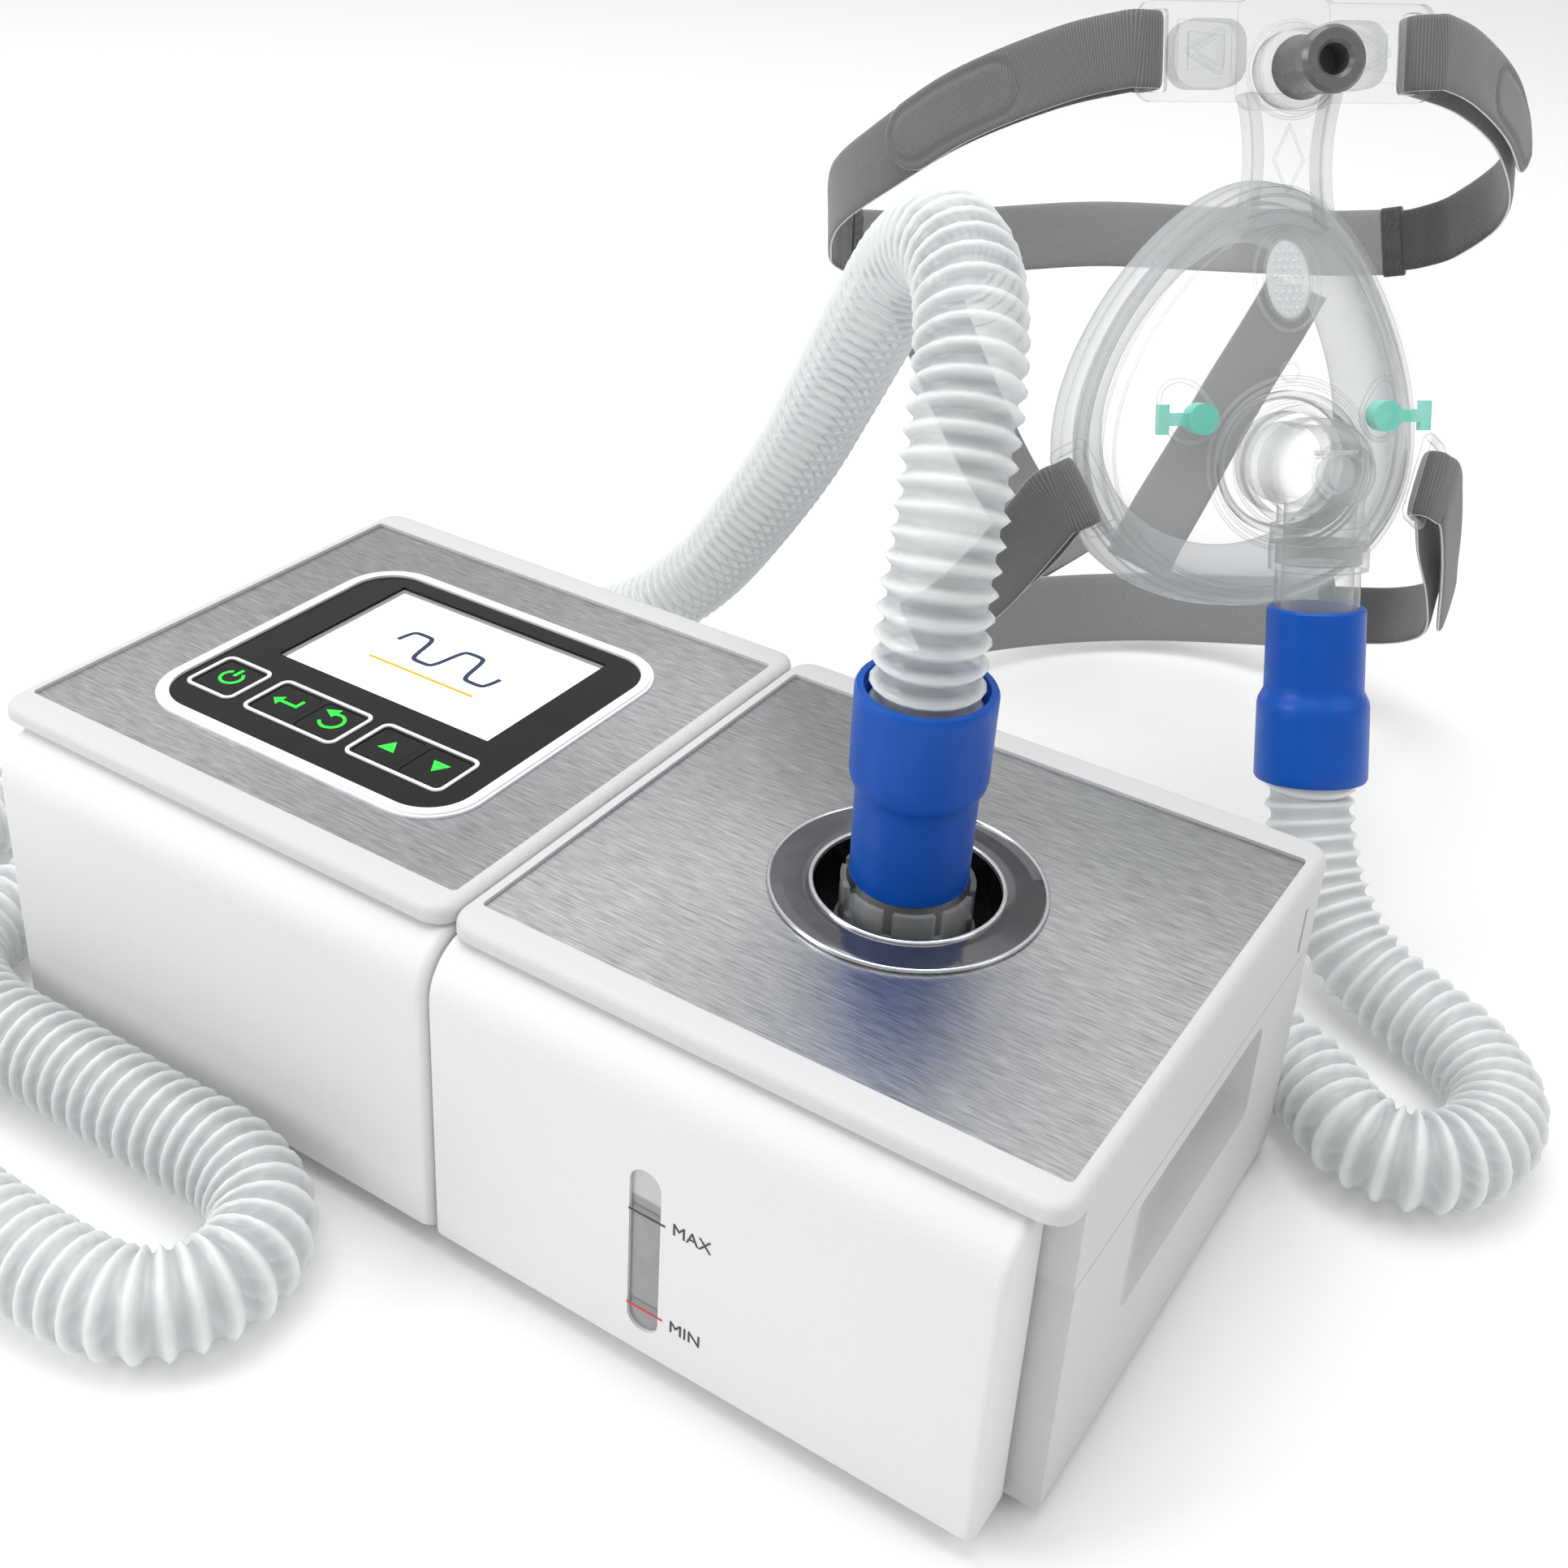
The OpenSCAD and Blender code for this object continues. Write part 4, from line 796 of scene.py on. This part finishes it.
# Clear loops at the cheeks, which the lower straps fold through.
lug_tilt, lug_turn = math.radians(28), math.radians(35)
for side_name, s in (("left", -1), ("right", 1)):
    corner = np.linspace(0, math.pi / 2, 5)
    loop = np.vstack([np.column_stack([cx + 1.6 * np.cos(corner + q), cz + 1.6 * np.sin(corner + q)])
                      for cx, cz, q in ((2.6, 10.6, 0), (-3.6, 10.6, math.pi / 2), (-3.6, -10.6, math.pi),
                                        (2.6, -10.6, 1.5 * math.pi))])
    x, z = loop[:, 0], loop[:, 1]
    tilted = np.column_stack([x * math.cos(lug_tilt) + z * math.sin(lug_tilt), 0 * x, -x * math.sin(lug_tilt)
                              + z * math.cos(lug_tilt)])
    placed = np.column_stack([tilted[:, 0] * math.cos(lug_turn), tilted[:, 0] * math.sin(lug_turn),
                              tilted[:, 2]]) + (50.3, 20.6, -8)
    placed[:, 0] *= s
    clear_part(closed_tube("strap_loop_" + side_name, on_mask(placed), 1.35 * MM, 10))

# ---------------------------------------------------------------- mask cushion
# A soft silicone lip in layers, moulded in one piece and clipped behind the
# frame's rim. It rolls inwards where it meets the face.
cushion_ring = np.array([(2.2, 2.8), (4.2, 5.5), (4.8, 8), (4.2, 10.5), (5.4, 12.6), (5.6, 15.4),
                         (4.6, 18.6), (2.6, 22.4), (-3, 25.3),
                         (-9, 25), (-12, 22), (-9.4, 20.4), (-4, 19.6), (0, 15), (-0.4, 8), (-2.4, 2.8)])
for _ in range(2):
    doubled = np.empty((2 * len(cushion_ring), 2))
    doubled[0::2] = 0.75 * cushion_ring + 0.25 * np.roll(cushion_ring, -1, axis=0)
    doubled[1::2] = 0.25 * cushion_ring + 0.75 * np.roll(cushion_ring, -1, axis=0)
    cushion_ring = doubled
cushion = faced_out(skin("cushion_lip", on_mask(np.stack([rim(around, grow, dy) for grow,
                                                          dy in cushion_ring])), loop=True))
silicone = Finish("silicone", IOR=1.41, Specular_IOR_Level=0.5, Subsurface_Weight=0.15,
                  Subsurface_Scale=0.004)
silicone_edge = silicone.facing(0.4)
bloom = silicone.noise(45, 3)
# The colour turns grey towards edges seen at a slant: painted shade standing in for the dark outlines that
# refraction draws on clear silicone.
silicone.feed(Base_Color=silicone.blend(silicone_edge, (0.84, 0.86, 0.87, 1), (0.40, 0.42, 0.43, 1)),
              Alpha=0.26 + 0.50 * silicone_edge + 0.08 * bloom, Roughness=0.2 + 0.18 * bloom)
silicone.bump(bloom, 0.0008, 0.3)
clear_part(cushion, finish=silicone)
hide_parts("mask_cushion")
silicone.on(*eased("valve_flap", "forehead_pads"))

# ---------------------------------------------------------------- knob and plugs
# A grey knob with a hollow front turns the screw of the forehead bar. Two soft
# mint-green caps with pull tabs close the pressure ports.
knob_grey = Finish("knob_grey", Roughness=0.3, Coat_Weight=0.25, Coat_Roughness=0.15)
knob_grain = knob_grey.noise(700, 2)
knob_grey.feed(Base_Color=knob_grey.blend(knob_grain, (0.085, 0.085, 0.088, 1), (0.13, 0.13, 0.135, 1)),
               Roughness=0.22 + 0.16 * knob_grain)
knob_grey.bump(knob_grain, 0.00008, 0.4)
knob_grey.on(*eased("adjust_knob"))
mint = Finish("mint_silicone", Roughness=0.3, IOR=1.41, Subsurface_Weight=0.25, Subsurface_Scale=0.003)
mint_edge = mint.facing(0.4)
mint_cloud = mint.noise(320, 2)
# The colour turns paler towards edges seen at a slant: painted sheen.
mint.feed(Base_Color=mint.blend(mint_edge, (0.20, 0.74, 0.60, 1), (0.36, 0.80, 0.70, 1)), Alpha=0.62 + 0.3
          * mint_edge,
          Roughness=0.24 + 0.16 * mint_cloud)
mint.on(*eased("port_plug_left", "port_plug_right"))

# ---------------------------------------------------------------- headgear
# Straps of knit laminated to foam: fine ribs across the outer face, white cut
# edges, dark plush inside. They fold through slots and hold by hook tabs.
knit = Finish("knit_grey", Roughness=0.85, Sheen_Weight=0.35, Sheen_Roughness=0.45)
knit_uv = knit.node("TexCoord", out=2)
knit_v = knit.node("SeparateXYZ", None, {0: knit_uv}, out=1)
knit_u = knit.node("SeparateXYZ", None, {0: knit_uv}, out=0)
rib = 0.5 + 0.5 * (knit_v * (2 * math.pi / 0.00075)).math("SINE", knit_v * (2 * math.pi / 0.00075))
loops = 0.5 + 0.5 * (knit_u * (2 * math.pi / 0.0006)).math("SINE", knit_u * (2 * math.pi / 0.0006))
fuzz = knit.noise(900, 3)
weave = rib * 0.62 + loops * 0.16 + fuzz * 0.32
knit.feed(Base_Color=knit.blend(weave, (0.080, 0.081, 0.081, 1), (0.195, 0.196, 0.194, 1)), Roughness=0.75
          + 0.2 * fuzz)
knit.bump(weave, 0.00022, 0.7)
cut_edge = Finish("cut_edge", Roughness=0.9, Sheen_Weight=0.2)
frayed = cut_edge.noise(2200, 3)
cut_edge.feed(Base_Color=cut_edge.blend(frayed, (0.52, 0.52, 0.52, 1), (0.82, 0.82, 0.81, 1)))
cut_edge.bump(frayed, 0.0002, 0.7)
plush = Finish("plush_dark", Roughness=0.95, Sheen_Weight=0.5, Sheen_Roughness=0.5)
pile = plush.noise(1500, 4, rough=0.7)
plush.feed(Base_Color=plush.blend(pile, (0.018, 0.018, 0.020, 1), (0.075, 0.076, 0.080, 1)))
plush.bump(pile, 0.0004, 0.9)
lining = Finish("lining_grey", Roughness=0.9, Sheen_Weight=0.2)
nap = lining.noise(1300, 3)
lining.feed(Base_Color=lining.blend(nap, (0.20, 0.20, 0.20, 1), (0.29, 0.29, 0.285, 1)))
lining.bump(nap, 0.00015, 0.6)

strap_half, strap_thick, strap_columns = 10.0, 2.0, 26


def ribbon(name, nodes, route, up, half=strap_half, turn_over=None, tab=0.0, head=(0, 80, 10),
           mirrored=False, inner=plush):
    """Band along a smooth route, in the mask's frame. It has a rounded tab at its start where tab is its
    length, with a pressed border. Its outer face changes side at turn_over, the share where it folds.
    inner is the finish of the face towards the head."""
    route = np.array(route, float)
    line, run = smooth_route(route, 1.0)
    tangent = np.gradient(line, axis=0)
    tangent /= np.linalg.norm(tangent, axis=1, keepdims=True)
    width_way = np.array(up, float) - (tangent @ np.array(up, float))[:, None] * tangent
    width_way /= np.linalg.norm(width_way, axis=1, keepdims=True)
    normal = np.cross(tangent, width_way)
    along = run / run[-1]
    outward = np.sign((normal * (line - np.array(head, float))).sum(axis=1))
    if turn_over is not None:
        outward = np.where(along < turn_over, -1.0, 1.0) * outward[-1]
    slim = np.ones_like(run)
    if tab:
        near_end = np.clip(1 - run / half, 0, 1)
        slim = np.sqrt(np.clip(1 - near_end ** 2, 0.012, 1))
    across_share = np.sin(np.linspace(-1, 1, strap_columns) * math.pi / 2)
    u = across_share[None] * half * slim[:, None]
    edge_roll = np.sqrt(np.clip(1 - np.abs(across_share) ** 10, 0.08, 1))[None]
    rise = strap_thick / 2 * edge_roll + 0 * u
    wave = 0.35 * np.sin(run / 11.0 + 1.3)[:, None] * across_share[None] ** 2
    if tab:
        straight = np.clip(run[:, None], half, max(tab - half * 0.8, half)) - run[:, None]
        border = np.abs(np.hypot(straight, u) - half * 0.74)
        emboss = np.where(run[:, None] < tab, -0.62 * np.exp(-(border / 0.8) ** 2) + 0.2
                          * (np.hypot(straight, u) < half * 0.66), 0)
    else:
        emboss = np.zeros_like(u)
    side = outward[:, None]
    base = line[:, None] + u[..., None] * width_way[:, None] + wave[..., None] * normal[:, None]
    face_a = base + ((rise + emboss * (side > 0)))[..., None] * normal[:, None]
    face_b = base - ((rise + emboss * (side < 0)))[..., None] * normal[:, None]
    grid = np.concatenate([face_a, face_b[:, ::-1]], axis=1)
    if mirrored:
        grid = grid * np.array([-1, 1, 1])
    piece = skin(name, on_mask(grid))
    faced_out(piece)
    columns = 2 * strap_columns
    quad_column = np.tile(np.arange(columns), len(line) - 1)
    quad_row = np.repeat(np.arange(len(line) - 1), columns)
    on_a = quad_column < strap_columns - 1
    on_b = (quad_column >= strap_columns) & (quad_column < columns - 1)
    share = np.where(on_a, quad_column, columns - 2 - quad_column)
    at_edge = (share < 1) | (share > strap_columns - 3) | ~(on_a | on_b)
    is_outer = np.where(on_a, outward[quad_row] > 0, outward[quad_row] < 0)
    index = np.where(at_edge, 1, np.where(is_outer, 0, 2))
    index = np.concatenate([index, [1, 1]])
    for finish in (knit, cut_edge, inner):
        piece.data.materials.append(finish.material)
    piece.data.polygons.foreach_set("material_index", index.astype(np.int32))
    uv = piece.data.uv_layers.new(name="weave")
    corners = np.empty(len(piece.data.loops), int)
    piece.data.loops.foreach_get("vertex_index", corners)
    u_all = np.concatenate([u, u[:, ::-1]], axis=1) * MM
    v_all = np.broadcast_to(run[:, None] * MM, u_all.shape)
    uv.data.foreach_set("uv", np.stack([u_all.ravel()[corners], v_all.ravel()[corners]], axis=-1).ravel())
    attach(piece, "unit")
    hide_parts(*nodes)
    return piece


upper_side = [
    [98, 57, 86], [82, 39, 97], [60, 19, 106], [46, 8.8, 109], [41, 6.6, 109],
    [36.6, 8, 109], [35.6, 13, 109], [37, 19, 109], [42, 22, 109],
    [60, 29, 105], [82, 46, 96], [98, 66, 85], [106, 88, 76], [104, 110, 67],
    [98.6, 121, 63.6], [93.4, 128.6, 62.4]]
upper_back = [
    [-92, 130.4, 62.2], [-86, 136, 62.2], [-72, 144.5, 62.4], [-40, 154, 64], [0, 158, 66],
    [40, 154, 64], [72, 144.5, 62.4], [86, 136, 62.2], [92, 130.4, 62.2]]
lower_side = [
    [80.5, 60, -50], [71, 42.5, -35.5], [62.5, 27.5, -19], [58.8, 22, -12],
    [55.4, 19.8, -10], [52.8, 18.9, -8.6], [50.4, 20.7, -8.1], [49.6, 23.5, -8.6],
    [51.3, 25.7, -10], [54.5, 27.9, -12], [60, 35.5, -22], [69, 47, -35],
    [77, 62, -48], [81, 78, -55], [79.5, 98, -60], [68, 118, -62]]
lower_back = [
    [-68.3, 118.5, -62], [-44, 138, -63], [-20, 148, -63], [0, 151, -63],
    [20, 148, -63], [44, 138, -63], [68.3, 118.5, -62]]
crown_side = [
    [66, 144.5, 48], [60, 149, 34], [48, 155, 10], [34, 158, -16], [20, 155, -38],
    [14, 153, -49]]
for side_name, flipped in (("right", False), ("left", True)):
    ribbon("upper_strap_" + side_name, ["strap_upper_" + side_name], upper_side, (0, 0, 1), turn_over=0.36,
           tab=46, mirrored=flipped)
    ribbon("lower_strap_" + side_name, ["strap_lower_" + side_name], lower_side, (0.38, 0.27, 0.88),
           turn_over=0.38, mirrored=flipped)
    ribbon("crown_band_" + side_name, ["crown_side_" + side_name], crown_side, (1, 0, 0), half=12.0,
           mirrored=flipped, inner=lining)
ribbon("crown_band_back", ["crown_strap"], upper_back, (0, 0, 1), half=11.0, inner=lining)
ribbon("neck_band", ["neck_strap"], lower_back, (0, 0, 1), half=12.0, inner=lining)

overlock = Finish("overlock_thread", Roughness=0.9, Sheen_Weight=0.3)
stitch = overlock.noise(1400, 2, stretch=(1, 1, 0.15))
overlock.feed(Base_Color=overlock.blend(stitch, (0.012, 0.012, 0.013, 1), (0.10, 0.10, 0.10, 1)))
overlock.bump(stitch, 0.0004, 1.0)


def seam_band(name, middle, along, up, half, length=7.0, thick=3.0):
    """Stitched band over a strap's joint: a flat rounded sleeve with small stitch ridges."""
    middle, along, up = (np.array(v, float) for v in (middle, along, up))
    along /= np.linalg.norm(along)
    up -= (up @ along) * along
    up /= np.linalg.norm(up)
    normal = np.cross(along, up)
    steps = np.linspace(-length / 2, length / 2, 15)
    ridge = 0.22 * (np.arange(15) % 2)
    angle = np.linspace(0, 2 * math.pi, 40, endpoint=False)
    wide = np.sign(np.cos(angle)) * np.abs(np.cos(angle)) ** 0.25
    tall = np.sign(np.sin(angle)) * np.abs(np.sin(angle)) ** 0.6
    grid = (middle + steps[:, None, None] * along + (half + ridge)[:, None, None] * wide[None, :, None] * up
            + (thick / 2 + ridge)[:, None, None] * tall[None, :, None] * normal)
    return clear_part(faced_out(skin(name, on_mask(grid))), finish=overlock)


for side_name, s in (("right", 1), ("left", -1)):
    seam_band("upper_seam_" + side_name, (s * 92.7, 129.5, 62.3), (s * -1.4, 1.8, -0.2), (0, 0, 1), 11.4)
    seam_band("lower_seam_" + side_name, (s * 68.1, 118.3, -62), (s * -11.5, 20, -2), (0, 0, 1), 12.4)

# ---------------------------------------------------------------- inner parts
# What the cases hide: board, blower, filter, heater and seals, each in the
# plain finish of its own trade, with rubber feet and steel screws below.
def trade_finish(name, low_tone, high_tone, grain, names, **fixed):
    """Plain finish between two tones, with a grain of the given scale in its colour and relief."""
    plain = Finish(name, **fixed)
    tone = plain.noise(grain, 3)
    plain.feed(Base_Color=plain.blend(tone, (*low_tone, 1), (*high_tone, 1)))
    plain.bump(tone, 0.0001, 0.5)
    plain.on(*eased(*names))


trade_finish("board_green", (0.01, 0.12, 0.05), (0.03, 0.22, 0.09), 260, ["main_board"], Roughness=0.35)
trade_finish("dark_moulding", (0.035, 0.035, 0.038), (0.06, 0.06, 0.065), 900,
             ["blower_housing", "blower_impeller", "air_duct", "power_inlet"], Roughness=0.5)
trade_finish("plain_steel", (0.45, 0.45, 0.47), (0.62, 0.62, 0.64), 1200,
             ["blower_motor", "heater_plate", "case_screws"],
             Roughness=0.35, Metallic=1.0)
trade_finish("filter_foam", (0.16, 0.19, 0.25), (0.34, 0.38, 0.46), 700, ["filter_foam"], Roughness=0.95)
trade_finish("soft_rubber", (0.02, 0.02, 0.02), (0.04, 0.04, 0.042), 1100, ["feet", "outlet_seal"],
             Roughness=0.7)

# ---------------------------------------------------------------- studio
# A pale sweep of floor under a soft white sky, with a broad lamp above and
# a weaker one at each side.
floor_half = 3.0
floor_mesh = bpy.data.meshes.new("studio_floor")
floor_mesh.from_pydata([(-floor_half, -floor_half, -0.0002), (floor_half, -floor_half, -0.0002),
                        (floor_half, floor_half, -0.0002), (-floor_half, floor_half, -0.0002)], [],
                        [(0, 1, 2, 3)])
floor = bpy.data.objects.new("studio_floor", floor_mesh)
bpy.context.scene.collection.objects.link(floor)
paper = Finish("studio_paper", Roughness=0.8, Specular_IOR_Level=0.2)
paper_tone = paper.noise(3, 2)
paper.feed(Base_Color=paper.blend(paper_tone, (0.90, 0.90, 0.90, 1), (0.93, 0.93, 0.93, 1)))
paper.on(floor)

sky = bpy.data.worlds.new("studio_sky")
sky.use_nodes = True
background = sky.node_tree.nodes["Background"]
look_way = sky.node_tree.nodes.new("ShaderNodeTexCoord")
way_parts = sky.node_tree.nodes.new("ShaderNodeSeparateXYZ")
sky_level = sky.node_tree.nodes.new("ShaderNodeMapRange")
for socket, level in ((1, 0.0), (2, 0.55), (3, 0.35), (4, 1.0)):
    sky_level.inputs[socket].default_value = level
sky.node_tree.links.new(look_way.outputs["Generated"], way_parts.inputs[0])
sky.node_tree.links.new(way_parts.outputs[2], sky_level.inputs[0])
sky.node_tree.links.new(sky_level.outputs[0], background.inputs["Color"])
background.inputs["Strength"].default_value = 0.80
bpy.context.scene.world = sky
bpy.context.scene.view_settings.view_transform = "Standard"
for lamp_name, spot, aim, watts, size in (
        ("lamp_above", (-0.2, 0.1, 1.5), (0, 0, 0.05), 13.0, 1.2),
        ("lamp_left", (-1.1, -1.1, 0.8), (0, 0, 0.08), 10.0, 0.7),
        ("lamp_right", (1.1, 0.2, 0.9), (0.05, 0.15, 0.12), 1.5, 0.5)):
    light = bpy.data.lights.new(lamp_name, "AREA")
    light.energy = watts
    light.size = size
    lamp = bpy.data.objects.new(lamp_name, light)
    bpy.context.scene.collection.objects.link(lamp)
    lamp.location = spot
    lamp.rotation_euler = (Vector(aim) - Vector(spot)).to_track_quat("-Z", "Y").to_euler()
